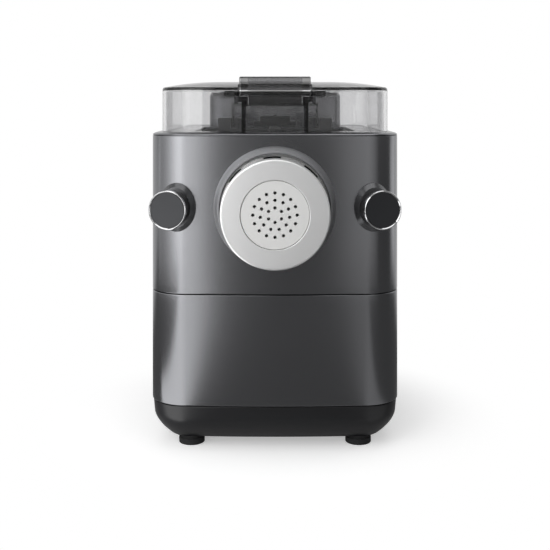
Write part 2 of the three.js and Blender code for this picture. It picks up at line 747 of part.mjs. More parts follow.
function lid() {
  const outer = lidForm(0, deckTop, lidTop);
  const inner = lidForm(lidWall, deckTop - cut, lidTop - lidWall);
  const high = lidTop + lidDome + cut;
  let body = outer.subtract(inner);
  const recess = box(-recessHalf - lidWall, recessHalf + lidWall, lidFront + lidWall / 2, recessBack + lidWall,
    deckTop, high);
  const notch = box(-notchHalf - lidWall, notchHalf + lidWall, lidFront + lidWall / 2, recessBack + lidWall,
    notchFloor - lidWall, high);
  body = body.add(join(recess, notch).intersect(outer));
  for (const side of [-1, 1]) {
    const x = [side * notchHalf, side * latchLugEnd].sort((p, q) => p - q);
    body = body.add(rod(latchLugRadius, x[0], x[1], 16, alongX(0, latchPinY, latchPinZ)).intersect(outer));
    const hinge = [side * (lugX - lugWidth / 2 + fit), side * (lugX + lugWidth / 2 - fit)].sort((p, q) => p - q);
    body = body.add(rod(lugRadius, hinge[0], hinge[1], 16, alongX(0, hingeY, hingeZ)));
    body = body.add(lugBlock(hinge[0], hinge[1], lidBack - lidWall / 2, hingeY, hingeZ - lugRadius));
  }
  body = body.subtract(box(-recessHalf, recessHalf, lidFront - cut, recessBack, 0, high));
  body = body.subtract(box(-notchHalf, notchHalf, lidFront - cut, recessBack, notchFloor, high));
  body = body.subtract(box(-rearNotchHalf, rearNotchHalf, lidBack - lidWall - cut / 2, lidBack + cut / 2, 0, rearNotchTop));
  for (const side of [-1, 1]) {
    const x = [side * (recessHalf - cut / 2), side * (recessHalf + lidWall + cut / 2)].sort((p, q) => p - q);
    body = body.subtract(box(x[0], x[1], armFront - armSwing, armFront + armThick + fit * 2,
      armTop - armThick - fit * 8, notchFloor - lidWall / 2));
  }
  body = body.subtract(rod(latchPinRadius + fit, -latchPinEnd - fit, latchPinEnd + fit, 16,
    alongX(0, latchPinY, latchPinZ)));
  return body.subtract(rod(pinRadius + fit, -far, far, 12, alongX(0, hingeY, hingeZ)));
}

// Latch: a handle block on the pin, a tab in front, and an arm at each side that drops into a catch
const armGap = 4;
const armFront = latchPinY + armGap;
const armThick = 3;
const armDrop = 1.5;
const armTop = notchFloor - lidWall - armDrop;
const armSide = 10;
const armX = recessHalf + lidWall + armSide;
const armRise = 4.2;
const armFoot = deckTop + armRise;
const armSwing = 7;
const toothReach = 4;
const toothHeight = 4;
const handleRise = 15.7;
const handleTop = latchPinZ + handleRise;
const handleRound = 3;
const tabThick = 6;
const tabDrop = 12;
const tabLow = latchPinZ - tabDrop;
const tabFront = handleFront;
const tabBack = tabFront + tabThick;

function latch() {
  const side = [[-handleHalf, handleLow], [handleHalf, handleLow], [handleHalf, handleTop - handleRound],
    [handleHalf - handleRound, handleTop], [handleRound - handleHalf, handleTop],
    [-handleHalf, handleTop - handleRound]].map(([x, z]) => new THREE.Vector2(x, z));
  let body = slabAlongY(side, handleFront, handleBack);
  const grip = box(-tabHalf, tabHalf, handleFront + wall * 2, handleBack - wall, handleTop - wall * 3, handleTop + cut);
  body = body.subtract(grip);
  body = body.add(box(-tabHalf, tabHalf, tabFront, tabBack, tabLow, handleLow + wall));
  body = body.add(box(-tabHalf, tabHalf, armFront, armFront + armThick, armTop - armThick, handleLow + wall));
  for (const sign of [-1, 1]) {
    const across = [0, sign * armX].sort((p, q) => p - q);
    body = body.add(box(across[0], across[1], armFront, armFront + armThick, armTop - armThick, armTop));
    const down = [sign * (armX - armThick), sign * armX].sort((p, q) => p - q);
    body = body.add(box(down[0], down[1], armFront, armFront + armThick, armFoot, armTop));
    body = body.add(box(down[0], down[1], armFront, armFront + armThick + toothReach, armFoot, armFoot + toothHeight));
  }
  return body.subtract(rod(latchPinRadius + fit, -far, far, 16, alongX(0, latchPinY, latchPinZ)));
}
add('lid', lid(), smokyClear);
add('lid_latch', latch(), smokyClear);
add('latch_pin', rod(latchPinRadius, -latchPinEnd, latchPinEnd, 16, alongX(0, latchPinY, latchPinZ)), darkPlastic);
const hingePinEnd = lugX + lugWidth * 1.5;
add('lid_hinge_pin', rod(pinRadius, -hingePinEnd, hingePinEnd, 12, alongX(0, hingeY, hingeZ)), steel);

// Catch blocks on the deck, each with an open slot for the latch arm
const catchOuterGap = 13.5;
const catchDepth = 11;
const catchHeight = 12.9;
const catchInner = recessHalf + lidWall + fit;
const catchOuter = armX + catchOuterGap;
const catchTop = deckTop + catchHeight;
const catchFront = armFront + armThick + fit;
const catchBack = catchFront + catchDepth;
for (const [name, side] of [['left_catch', -1], ['right_catch', 1]]) {
  const x = [side * catchInner, side * catchOuter].sort((p, q) => p - q);
  const slot = [side * (armX - armThick - fit * 4), side * (armX + fit * 4)].sort((p, q) => p - q);
  const block = box(x[0], x[1], catchFront, catchBack, deckTop, catchTop);
  const groove = box(slot[0], slot[1], catchFront - cut, catchFront + toothReach + fit, armFoot - fit * 4, catchTop + cut);
  add(name, block.subtract(groove), darkPlastic);
}

// Lid switch: a stepped block on the deck, a plunger under the lid's back wall, a switch under the deck
const plungerY = blockY + fit * 10;
const plungerHole = (z0, z1) => rod(plungerRadius + fit, z0, z1, 12, upright(0, plungerY, 0));
const plungerShoulder = 3.2;
const plungerRest = rearNotchTop - fit;
const plungerFoot = bodyTop - deckThick - fit;
const plungerTravel = 1.5;
const block = box(-shoulderHalf, shoulderHalf, blockY - blockDepth / 2, blockY + blockDepth / 2, deckTop, shoulderTop)
  .add(box(-blockHalf, blockHalf, blockY - blockDepth / 2, blockY + blockDepth / 2, deckTop, blockTop));
add('interlock_block', block.subtract(plungerHole(0, blockTop + cut)), darkPlastic);
const plunger = turned([[0, plungerFoot], [plungerRadius, plungerFoot], [plungerRadius, plungerRest],
  [0, plungerRest]], 12, upright(0, plungerY, 0));
add('interlock_plunger', plunger, whitePlastic);
const switchTop = bodyTop - deckThick - fit;
const switchBody = box(-plungerRadius * 5, plungerRadius * 5, plungerY - plungerRadius * 3, plungerY + plungerRadius * 3,
  switchTop - plungerRadius * 5, switchTop);
const switchWell = rod(plungerRadius + fit * 2, switchTop - plungerTravel * 2, switchTop + cut, 12, upright(0, plungerY, 0));
add('interlock_switch', switchBody.subtract(switchWell), darkPlastic);

// Mixing chamber: a trough open at its front and top, with a bore in its back wall
const troughTop = bodyTop - deckThick - fit;
const shaftRadius = 7;
const hubWall = 4;
const hubRadius = shaftRadius + hubWall;
const troughSteps = 20;
function trough(radius, y0, y1, top) {
  const outline = [];
  for (let i = 0; i <= troughSteps; i++) {
    const angle = Math.PI + (i * Math.PI) / troughSteps;
    outline.push(new THREE.Vector2(radius * Math.cos(angle), axisHeight + radius * Math.sin(angle)));
  }
  outline.push(new THREE.Vector2(radius, top), new THREE.Vector2(-radius, top));
  return slabAlongY(outline, y0, y1);
}
const chamber = carve(trough(troughRadius + troughWall, troughFront, troughBack, troughTop),
  trough(troughRadius, troughFront - cut, troughBack - troughWall, troughTop + cut),
  rod(shaftRadius + fit * 2, 0, bulkheadY, 20, onAxis(axisHeight)));
add('mixing_chamber', chamber, greyPlastic);
const sealThick = chamberGap - wall - crownSag(troughRadius + troughWall) - fit * 2;
const seal = trough(troughRadius + troughWall, troughFront - fit - sealThick, troughFront - fit, troughTop)
  .subtract(trough(troughRadius, troughFront - cut, troughFront + cut, troughTop + cut));
add('chamber_seal', seal, blackRubber);

// Mixing paddle and extrusion auger on one drive shaft
const paddleGap = 3;
const paddleReach = troughRadius - paddleGap;
const barThick = 6;
const armWidth = 8;
const paddleFront = openFront + armWidth / 2;
const paddleBack = openBack - cut;
const neckLength = 6;
const augerBack = paddleFront - neckLength;
const augerCore = hubRadius;
const augerGap = 1.4;
const augerRadius = tubeBore - augerGap;
const augerFront = frontY - tubeReach + discRoom;
const augerPitch = 30;
const augerSteps = 30;
const bladeShares = [0, 0.33, 0.67, 1];
const bladeAngle = THREE.MathUtils.degToRad(56);
const shaftGrip = 28;
const shaftFront = paddleBack - shaftGrip;
const shaftBack = bulkheadY + shaftGrip;
function paddle() {
  let body = rod(hubRadius, paddleFront, paddleBack, 20, onAxis(axisHeight));
  const middle = (paddleFront + paddleBack) / 2;
  const bar = (y0, y1, side) => {
    const r = [side * (paddleReach - barThick), side * paddleReach].sort((p, q) => p - q);
    return box(-barThick, barThick, y0, y1, axisHeight + r[0], axisHeight + r[1]);
  };
  const arm = (y, side) => {
    const r = [0, side * (paddleReach - barThick / 2)].sort((p, q) => p - q);
    return box(-barThick / 2, barThick / 2, y, y + armWidth, axisHeight + r[0], axisHeight + r[1]);
  };
  body = join(body, bar(paddleFront, middle, 1), arm(paddleFront, 1), arm(middle - armWidth, 1),
    bar(middle, paddleBack, -1), arm(middle, -1), arm(paddleBack - armWidth, -1));
  return body.subtract(rod(shaftRadius + fit, shaftFront - fit, far, 20, onAxis(axisHeight)));
}
add('mixing_paddle', paddle(), greyPlastic);

function auger() {
  const outline = [];
  for (const share of bladeShares) {
    const angle = bladeAngle * (share - 0.5);
    outline.push(new THREE.Vector2(augerRadius * Math.sin(angle), augerRadius * Math.cos(angle)));
  }
  for (const share of [...bladeShares].reverse()) {
    const angle = bladeAngle * (share - 0.5);
    outline.push(new THREE.Vector2((augerCore - fit) * Math.sin(angle), (augerCore - fit) * Math.cos(angle)));
  }
  const length = augerBack - augerFront;
  const geometry = new THREE.ExtrudeGeometry(new THREE.Shape(outline), {
    depth: length, steps: augerSteps, bevelEnabled: false });
  const place = geometry.attributes.position;
  const point = new THREE.Vector3();
  for (let i = 0; i < place.count; i++) {
    point.fromBufferAttribute(place, i);
    point.applyAxisAngle(new THREE.Vector3(0, 0, 1), (point.z * 2 * Math.PI) / augerPitch);
    place.setXYZ(i, point.x, point.y, point.z);
  }
  geometry.rotateX(Math.PI / 2);
  geometry.translate(0, augerBack, axisHeight);
  const core = rod(augerCore, augerFront, augerBack, 20, onAxis(axisHeight));
  const neck = rod(hubRadius - wall, augerBack - wall, paddleFront - fit, 16, onAxis(axisHeight));
  return join(solid(geometry), core, neck);
}
add('extrusion_auger', auger(), steel);
add('drive_shaft', rod(shaftRadius, shaftFront, shaftBack, 20, onAxis(axisHeight)), steel);

// Gears: involute teeth with a little backlash, on three parallel axes
const pressureAngle = THREE.MathUtils.degToRad(20);
const slowModuleShare = 2 / 76;
const slowModule = troughRadius * slowModuleShare;
const fastModuleShare = 0.75;
const fastModule = slowModule * fastModuleShare;
const outputTeeth = 48;
const pinionTeeth = 12;
const idlerTeeth = 44;
const rotorTeeth = 11;
const toothShare = 0.45;
const tipShare = 0.65;
const rootShare = 1.05;
const flankShares = [0, 1];
const idlerHeight = axisHeight - (slowModule * (outputTeeth + pinionTeeth)) / 2;
const motorHeight = idlerHeight - (fastModule * (idlerTeeth + rotorTeeth)) / 2;
function gear(module, teeth, phase, y0, y1, height) {
  const pitch = (module * teeth) / 2;
  const base = pitch * Math.cos(pressureAngle);
  const tip = pitch + module * tipShare;
  const root = pitch - module * rootShare;
  const involute = (radius) => Math.sqrt(Math.max((radius / base) ** 2 - 1, 0)) - Math.acos(Math.min(base / radius, 1));
  const halfAt = (radius) => (Math.PI * toothShare) / teeth + involute(pitch) - involute(radius);
  const low = Math.max(base, root);
  const outline = [];
  const put = (radius, angle) => outline.push(new THREE.Vector2(radius * Math.cos(angle), height + radius * Math.sin(angle)));
  for (let i = 0; i < teeth; i++) {
    const middle = phase + (i * 2 * Math.PI) / teeth;
    put(root, middle - halfAt(low));
    for (const share of flankShares) {
      const radius = low + (tip - low) * share;
      put(radius + (share === 0 ? fit / 10 : 0), middle - halfAt(radius));
    }
    for (const share of [...flankShares].reverse()) {
      const radius = low + (tip - low) * share;
      put(radius + (share === 0 ? fit / 10 : 0), middle + halfAt(radius));
    }
    put(root, middle + halfAt(low));
  }
  return slabAlongY(outline, y0, y1);
}
const bulkheadThick = 4;
const gearGap = 4;
const gearThick = 7;
const gearStep = 2;
const fastThick = 6;
const caseRoom = 7;
const bulkheadBack = bulkheadY + bulkheadThick;
const gearFront = bulkheadBack + gearGap;
const gearBack = gearFront + gearThick;
const fastFront = gearBack + gearStep;
const fastBack = fastFront + fastThick;
const caseBack = fastBack + caseRoom;
const idlerPin = 4;
const tooth = (teeth, turns) => (Math.PI * 2 * turns) / teeth;
const down = -Math.PI / 2;
const up = Math.PI / 2;
const outputGear = gear(slowModule, outputTeeth, down, gearFront, gearBack, axisHeight);
add('output_gear', outputGear.subtract(rod(shaftRadius + fit, 0, far, 20, onAxis(axisHeight))), steel);
const idler = join(
  gear(slowModule, pinionTeeth, up + tooth(pinionTeeth, 0.5), gearFront - fit * 2, fastFront + fit, idlerHeight),
  gear(fastModule, idlerTeeth, down, fastFront, fastBack, idlerHeight),
  rod(idlerPin, bulkheadY + fit, caseBack - fit * 2, 16, onAxis(idlerHeight)),
);
add('idler_gear', idler, steel);

// Motor: case, rotor with its pinion, fan
const motorRadius = 38;
const motorWall = 3;
const rotorGap = 9;
const rotorRadius = motorRadius - rotorGap;
const rotorShaft = 4;
const fanGap = 4;
const fanThick = 8;
const fanRoom = 15.4;
const fanInset = 4;
const fanHub = 9;
const fanRadius = motorRadius - fanInset;
const fanBack = backY - fanRoom;
const fanFront = fanBack - fanThick;
const motorFront = caseBack + fit;
const motorBack = fanFront - fanGap;
const bladeCount = 7;
const bladeThick = 2;
const rotor = join(
  gear(fastModule, rotorTeeth, up + tooth(rotorTeeth, 0.5), fastFront - fit * 2, fastBack + fit * 2, motorHeight),
  rod(rotorShaft, fastFront - fit * 2, fanBack, 16, onAxis(motorHeight)),
  rod(rotorRadius, motorFront + motorWall * 2, motorBack - motorWall * 2, 28, onAxis(motorHeight)),
);
add('motor_rotor', rotor, steel);
const motorCase = turned([[rotorShaft + fit, motorFront], [motorRadius, motorFront], [motorRadius, motorBack],
  [rotorShaft + fit, motorBack], [rotorShaft + fit, motorBack - motorWall], [motorRadius - motorWall, motorBack - motorWall],
  [motorRadius - motorWall, motorFront + motorWall], [rotorShaft + fit, motorFront + motorWall]], 32, onAxis(motorHeight));
add('motor_case', motorCase, steel);
function coolingFan() {
  let fan = rod(fanHub, fanFront, fanBack, 20, onAxis(motorHeight));
  for (let i = 0; i < bladeCount; i++) {
    const turn = onAxis(motorHeight).multiply(new THREE.Matrix4().makeRotationY((i * 2 * Math.PI) / bladeCount));
    fan = fan.add(box(-bladeThick / 2, bladeThick / 2, fanFront, fanBack, 0, fanRadius, turn));
  }
  return fan.subtract(rod(rotorShaft + fit, 0, far, 16, onAxis(motorHeight)));
}
add('cooling_fan', coolingFan(), darkPlastic);

// Bulkhead with the shaft bearing, and the gearbox case on its back
const bearingWall = 6;
const bearingRadius = shaftRadius + bearingWall;
const caseGap = 3;
function bulkhead() {
  const plate = slab(plan(wall + fit), baseTop + seam, troughTop)
    .intersect(box(-far, far, bulkheadY, bulkheadBack, 0, bodyTop));
  return carve(plate, rod(bearingRadius + fit, 0, far, 24, onAxis(axisHeight)),
    rod(idlerPin + fit, 0, far, 16, onAxis(idlerHeight)));
}
add('bulkhead', bulkhead(), greyPlastic);
const bearing = turned([[shaftRadius + fit, bulkheadY], [bearingRadius, bulkheadY], [bearingRadius, bulkheadBack],
  [shaftRadius + fit, bulkheadBack]], 24, onAxis(axisHeight));
add('shaft_bearing', bearing, steel);
function gearboxCase() {
  const reach = (slowModule * outputTeeth) / 2 + caseGap;
  const capsule = (grow) => {
    const outline = [];
    const steps = 12;
    const low = motorHeight + reach / 2;
    for (let i = 0; i <= steps; i++) {
      const angle = (i * Math.PI) / steps;
      outline.push(new THREE.Vector2((reach + grow) * Math.cos(angle), axisHeight + (reach + grow) * Math.sin(angle)));
    }
    for (let i = 0; i <= steps; i++) {
      const angle = Math.PI + (i * Math.PI) / steps;
      outline.push(new THREE.Vector2((reach + grow) * Math.cos(angle), low + (reach + grow) * Math.sin(angle)));
    }
    return outline;
  };
  const outer = slabAlongY(capsule(wall), bulkheadBack + fit, caseBack);
  const inner = slabAlongY(capsule(0), bulkheadBack - cut, caseBack - wall);
  return carve(outer, inner, rod(shaftRadius + fit, 0, far, 20, onAxis(axisHeight)),
    rod(idlerPin + fit, 0, far, 16, onAxis(idlerHeight)), rod(rotorShaft + fit, 0, far, 16, onAxis(motorHeight)));
}
add('gearbox_case', gearboxCase(), darkPlastic);

// Control board on the base's posts, and the power inlet in the back
const boardBase = baseBottom + wall + postHeight + fit;
const boardThick = 1.6;
const partHeight = 14;
const lowPartShare = 0.8;
function controlBoard() {
  let board = box(-boardHalf, boardHalf, boardFront, boardBack, boardBase, boardBase + boardThick);
  const middle = (boardFront + boardBack) / 2;
  const reach = boardHalf / 2;
  board = board.add(box(-reach - partHeight, -reach + partHeight, middle - partHeight, middle + partHeight,
    boardBase + boardThick / 2, boardBase + partHeight));
  board = board.add(box(reach - partHeight / 2, reach + partHeight / 2, middle - partHeight, middle + partHeight,
    boardBase + boardThick / 2, boardBase + partHeight * lowPartShare));
  return board;
}
add('control_board', controlBoard(), boardGreen);
const inletDepth = 22;
const inletWall = 4;
const pinHalf = 1.2;
const pinSpacing = 7;
function powerInlet() {
  const body = box(inletX - inletHalf, inletX + inletHalf, backY - inletDepth, backY, inletZ - inletHeight, inletZ + inletHeight);
  const well = box(inletX - inletHalf + inletWall, inletX + inletHalf - inletWall, backY - inletDepth + inletWall,
    backY + cut, inletZ - inletHeight + inletWall, inletZ + inletHeight - inletWall);
  let inlet = body.subtract(well);
  for (const side of [-1, 1]) {
    const x = inletX + side * pinSpacing;
    inlet = inlet.add(box(x - pinHalf, x + pinHalf, backY - inletDepth + inletWall / 2, backY - inletWall,
      inletZ - pinHalf * 2, inletZ + pinHalf * 2));
  }
  return inlet;
}
add('power_inlet', powerInlet(), darkPlastic);

export default assembly;
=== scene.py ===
import json
import math

import bmesh
import bpy
from mathutils import Matrix, Vector


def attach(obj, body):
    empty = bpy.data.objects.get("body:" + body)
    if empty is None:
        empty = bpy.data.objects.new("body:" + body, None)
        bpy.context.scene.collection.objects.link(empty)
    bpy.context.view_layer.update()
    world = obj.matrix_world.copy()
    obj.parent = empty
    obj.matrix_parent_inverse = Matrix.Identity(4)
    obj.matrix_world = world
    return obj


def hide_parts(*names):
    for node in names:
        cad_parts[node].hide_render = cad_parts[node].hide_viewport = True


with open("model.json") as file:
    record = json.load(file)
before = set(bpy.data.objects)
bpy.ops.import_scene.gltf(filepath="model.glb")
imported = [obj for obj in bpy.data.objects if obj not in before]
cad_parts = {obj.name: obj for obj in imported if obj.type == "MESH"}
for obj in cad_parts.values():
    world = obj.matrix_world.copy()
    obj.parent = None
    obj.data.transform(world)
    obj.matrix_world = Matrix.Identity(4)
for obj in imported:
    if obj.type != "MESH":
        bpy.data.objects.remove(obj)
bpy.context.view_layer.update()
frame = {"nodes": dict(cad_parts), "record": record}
scene = bpy.context.scene
print("frame loaded:", len(frame["nodes"]), "nodes")

mm = 0.001

# the casing, as seen from above: crowned front, large front corners, smaller back corners
casing = {
    "halfWidth": 119.2, "front": -120, "back": 180, "crown": 1300, "frontRound": 35, "backRound": 28,
    "seamY": -74, "seam": 0.6, "wall": 3, "fit": 0.3, "rimGap": 0.15,
    "baseBottom": 9, "baseTop": 44, "panelTop": 298.8, "top": 302, "seat": 302.3,
    "axisHeight": 231.5,
}
past = 5  # how far a cutter reaches past the face that it opens
lidPlan = {"halfWidth": 110.5, "front": -111, "back": 94.9, "crown": 1300, "frontRound": 33, "backRound": 24}
consolePlan = {"halfWidth": 77, "front": 102, "back": 176, "crown": 1300, "frontRound": 14, "backRound": 14}

sideSteps, backSteps = 12, 6  # pieces of the plan's straight stretches


def outlineHalf(size, inset, steps=(20, 14, 10)):
    crown = size["crown"] - inset
    x = size["halfWidth"] - size["frontRound"]
    y = size["front"] + size["crown"] - math.sqrt((size["crown"] - size["frontRound"]) ** 2 - x ** 2)
    turn = math.asin(x / (size["crown"] - size["frontRound"]))
    points = []

    def arc(cx, cy, radius, start, end, count, last=False):
        for i in range(count + (1 if last else 0)):
            a = start + (end - start) * i / count
            points.append((cx + radius * math.sin(a), cy - radius * math.cos(a)))

    arc(0, size["front"] + size["crown"], crown, 0, turn, steps[0])
    arc(x, y, size["frontRound"] - inset, turn, math.pi / 2, steps[1], True)
    sideStart, sideEnd = points[-1][1], size["back"] - size["backRound"]
    sideX = size["halfWidth"] - inset
    for i in range(1, sideSteps):
        points.append((sideX, sideStart + (sideEnd - sideStart) * i / sideSteps))
    arc(size["halfWidth"] - size["backRound"], sideEnd, size["backRound"] - inset, math.pi / 2, math.pi,
        steps[2])
    backX = size["halfWidth"] - size["backRound"]
    for i in range(backSteps):
        points.append((backX * (1 - i / backSteps), size["back"] - inset))
    return points


def outline(size, inset):
    half = outlineHalf(size, inset)
    mirrored = [(-x, y) for x, y in reversed(half[1:])]
    return half + [(0, size["back"] - inset)] + mirrored


def frontPath(size, inset, seamY):
    half = [p for p in outlineHalf(size, inset, (28, 18, 10)) if p[1] < seamY - 0.01]
    half.append((size["halfWidth"] - inset, seamY))
    return [(-x, y) for x, y in reversed(half[1:])] + half


def rearPath(size, inset, seamY):
    half = [p for p in outlineHalf(size, inset) if p[1] > seamY + 0.01]
    half.insert(0, (size["halfWidth"] - inset, seamY))
    return half + [(0, size["back"] - inset)] + [(-x, y) for x, y in reversed(half)]


def rounded(corners, steps=3):
    # a closed line of (a, b, radius) corners with each corner rounded
    line = []
    count = len(corners)
    for i, corner in enumerate(corners):
        here = Vector(corner[:2])
        radius = corner[2] if len(corner) > 2 else 0
        if radius == 0:
            line.append(tuple(here))
            continue
        before = Vector(corners[i - 1][:2]) - here
        after = Vector(corners[(i + 1) % count][:2]) - here
        opening = before.angle(after)
        reach = radius / math.tan(opening / 2)
        start = here + before.normalized() * reach
        end = here + after.normalized() * reach
        middle = (before.normalized() + after.normalized()).normalized()
        centre = here + middle * (radius / math.sin(opening / 2))
        a0 = math.atan2(*(start - centre).yx)
        a1 = math.atan2(*(end - centre).yx)
        sweep = (a1 - a0 + math.pi) % (2 * math.pi) - math.pi
        for k in range(steps + 1):
            a = a0 + sweep * k / steps
            line.append((centre.x + radius * math.cos(a), centre.y + radius * math.sin(a)))
    return line


def subdivided(line, axis, pitch):
    # extra points along the long straight stretches of a closed line
    out = []
    for i, p in enumerate(line):
        q = line[(i + 1) % len(line)]
        out.append(p)
        pieces = int(abs(q[axis] - p[axis]) // pitch)
        for k in range(1, pieces):
            t = k / pieces
            out.append((p[0] + (q[0] - p[0]) * t, p[1] + (q[1] - p[1]) * t))
    return out


def newObject(name, bm, angle=32):
    bmesh.ops.remove_doubles(bm, verts=bm.verts, dist=1e-7)
    bmesh.ops.recalc_face_normals(bm, faces=bm.faces)
    smoothEdges(bm, angle)
    mesh = bpy.data.meshes.new(name)
    bm.to_mesh(mesh)
    bm.free()
    obj = bpy.data.objects.new(name, mesh)
    scene.collection.objects.link(obj)
    return obj


def smoothEdges(bm, angle):
    limit = math.radians(angle)
    for face in bm.faces:
        face.smooth = True
    for edge in bm.edges:
        edge.smooth = len(edge.link_faces) == 2 and edge.calc_face_angle(0) < limit


def ringsMesh(name, rings, closedPath=True, closedLoop=False, angle=32, change=None):
    # faces between rings of the same number of points, in millimetres
    bm = bmesh.new()
    made = []
    for ring in rings:
        made.append([bm.verts.new(Vector(p) * mm) for p in ring])
    count = len(rings[0])
    pairs = list(zip(made, made[1:]))
    if closedLoop:
        pairs.append((made[-1], made[0]))
    for a, b in pairs:
        for i in range(count if closedPath else count - 1):
            j = (i + 1) % count
            bm.faces.new((a[i], a[j], b[j], b[i]))
    if not closedLoop:
        bm.faces.new(made[0])
        bm.faces.new(list(reversed(made[-1])))
    elif not closedPath:
        bm.faces.new([ring[0] for ring in made])
        bm.faces.new([ring[-1] for ring in reversed(made)])
    if change:
        bm.transform(change)
    return newObject(name, bm, angle)


def sweepPlan(name, size, pathOf, seamY, loop):
    # a closed cross-section of (inset, height) carried round an open stretch of the plan
    rings = [[(x, y, z) for x, y in pathOf(size, inset, seamY)] for inset, z in loop]
    return ringsMesh(name, rings, False, True)


def turned(name, profile, sides=96, change=None, angle=32):
    # a closed profile of (radius, along) turned about Y
    bm = bmesh.new()
    rings = []
    for radius, along in profile:
        if radius < 1e-6:
            rings.append([bm.verts.new(Vector((0, along, 0)) * mm)] * sides)
            continue
        ring = []
        for i in range(sides):
            a = 2 * math.pi * i / sides
            ring.append(bm.verts.new(Vector((radius * math.cos(a), along, radius * math.sin(a))) * mm))
        rings.append(ring)
    for k, a in enumerate(rings):
        b = rings[(k + 1) % len(rings)]
        for i in range(sides):
            j = (i + 1) % sides
            corners = []
            for v in (a[i], a[j], b[j], b[i]):
                if v not in corners:
                    corners.append(v)
            if len(corners) > 2:
                bm.faces.new(corners)
    if change:
        bm.transform(change)
    return newObject(name, bm, angle)


def shift(x, y, z):
    return Matrix.Translation(Vector((x, y, z)) * mm)


def onAxis(height=casing["axisHeight"]):
    return shift(0, 0, height)


def upright(x, y, z):
    return shift(x, y, z) @ Matrix.Rotation(math.pi / 2, 4, "X")


def alongX(x, y, z):
    return shift(x, y, z) @ Matrix.Rotation(-math.pi / 2, 4, "Z")


def rod(name, radius, start, end, sides=48, change=None, edge=0.0):
    corners = [(0, start), (radius, start, edge), (radius, end, edge), (0, end)]
    return turned(name, rounded(corners), sides, change)


def block(name, x0, x1, y0, y1, z0, z1, edge=0.0, change=None):
    bm = bmesh.new()
    bmesh.ops.create_cube(bm, size=1)
    for v in bm.verts:
        v.co = Vector(((x0 + x1) / 2 + v.co.x * abs(x1 - x0), (y0 + y1) / 2 + v.co.y * abs(y1 - y0),
                       (z0 + z1) / 2 + v.co.z * abs(z1 - z0))) * mm
    if edge:
        bmesh.ops.bevel(bm, geom=list(bm.edges), offset=edge * mm, segments=3, profile=0.5, affect="EDGES")
    if change:
        bm.transform(change)
    return newObject(name, bm)


def boxOf(name, spans, side=1, change=None):
    # a block from its spans along x, y and z and its edge, mirrored in x where side is -1
    across, along, up, *edge = spans
    return block(name, *sorted(side * x for x in across), *along, *up, *edge, change=change)


def applied(obj):
    # the evaluated mesh in place of the modifiers
    graph = bpy.context.evaluated_depsgraph_get()
    mesh = bpy.data.meshes.new_from_object(obj.evaluated_get(graph))
    obj.modifiers.clear()
    obj.data = mesh
    return obj


def settle(obj):
    bm = bmesh.new()
    bm.from_mesh(obj.data)
    bmesh.ops.remove_doubles(bm, verts=bm.verts, dist=2e-7)
    smoothEdges(bm, 32)
    bm.to_mesh(obj.data)
    bm.free()
    return obj


def combine(obj, others, operation="DIFFERENCE"):
    for other in others:
        modifier = obj.modifiers.new("shape", "BOOLEAN")
        modifier.operation = operation
        modifier.solver = "EXACT"
        modifier.object = other
    applied(obj)
    for other in others:
        bpy.data.objects.remove(other)
    return settle(obj)


def joined(name, objects):
    # separate closed forms kept in one mesh
    bm = bmesh.new()
    for obj in objects:
        bm.from_mesh(obj.data)
        bpy.data.objects.remove(obj)
    mesh = bpy.data.meshes.new(name)
    bm.to_mesh(mesh)
    bm.free()
    made = bpy.data.objects.new(name, mesh)
    scene.collection.objects.link(made)
    return made


def finishPiece(obj, material, body, slotName, *replaced):
    even = obj.modifiers.new("even", "WEIGHTED_NORMAL")
    even.keep_sharp = True
    applied(obj)
    obj.data.materials.clear()
    obj.data.materials.append(material)
    for polygon in obj.data.polygons:
        polygon.material_index = 0
    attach(obj, body)
    if replaced:
        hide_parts(*replaced)
    return obj


def put(tree, kind, inputs=None, **settings):
    # a node with its settings, its inputs given as values or as sockets to join
    node = tree.nodes.new(kind)
    for key, value in settings.items():
        setattr(node, key, value)
    for key, value in (inputs or {}).items():
        if isinstance(value, bpy.types.NodeSocket):
            tree.links.new(value, node.inputs[key])
        else:
            node.inputs[key].default_value = value
    return node


def calc(tree, operation, *values):
    # the result of a Math node
    return put(tree, "ShaderNodeMath", dict(enumerate(values)), operation=operation).outputs[0]


def ranged(tree, value, start, end, low, high, kind="SMOOTHSTEP"):
    # a value between start and end carried over to between low and high
    return put(tree, "ShaderNodeMapRange", {"Value": value, "From Min": start, "From Max": end, "To Min": low,
                                            "To Max": high}, interpolation_type=kind).outputs[0]


def newTool(name, inputs):
    # a Geometry Nodes tree with named inputs
    tree = bpy.data.node_groups.new(name, "GeometryNodeTree")
    tree.is_modifier = True
    tree.interface.new_socket("Geometry", in_out="INPUT", socket_type="NodeSocketGeometry")
    for label, kind in inputs:
        tree.interface.new_socket(label, in_out="INPUT", socket_type="NodeSocket" + kind)
    tree.interface.new_socket("Geometry", in_out="OUTPUT", socket_type="NodeSocketGeometry")
    return tree, put(tree, "NodeGroupInput").outputs


def closeTool(tree, geometry, material):
    whole = put(tree, "GeometryNodeRealizeInstances", {"Geometry": geometry})
    painted = put(tree, "GeometryNodeSetMaterial", {"Geometry": whole.outputs[0], "Material": material})
    put(tree, "NodeGroupOutput", {"Geometry": painted.outputs[0]})


def grown(name, tree, values):
    # the tree's result as a plain mesh, with the tree's inputs set by their identifiers
    obj = bpy.data.objects.new(name, bpy.data.meshes.new(name))
    scene.collection.objects.link(obj)
    modifier = obj.modifiers.new("grow", "NODES")
    modifier.node_group = tree
    for item in tree.interface.items_tree:
        if item.item_type == "SOCKET" and item.in_out == "INPUT" and item.name in values:
            modifier[item.identifier] = values[item.name]
    return settle(applied(obj))


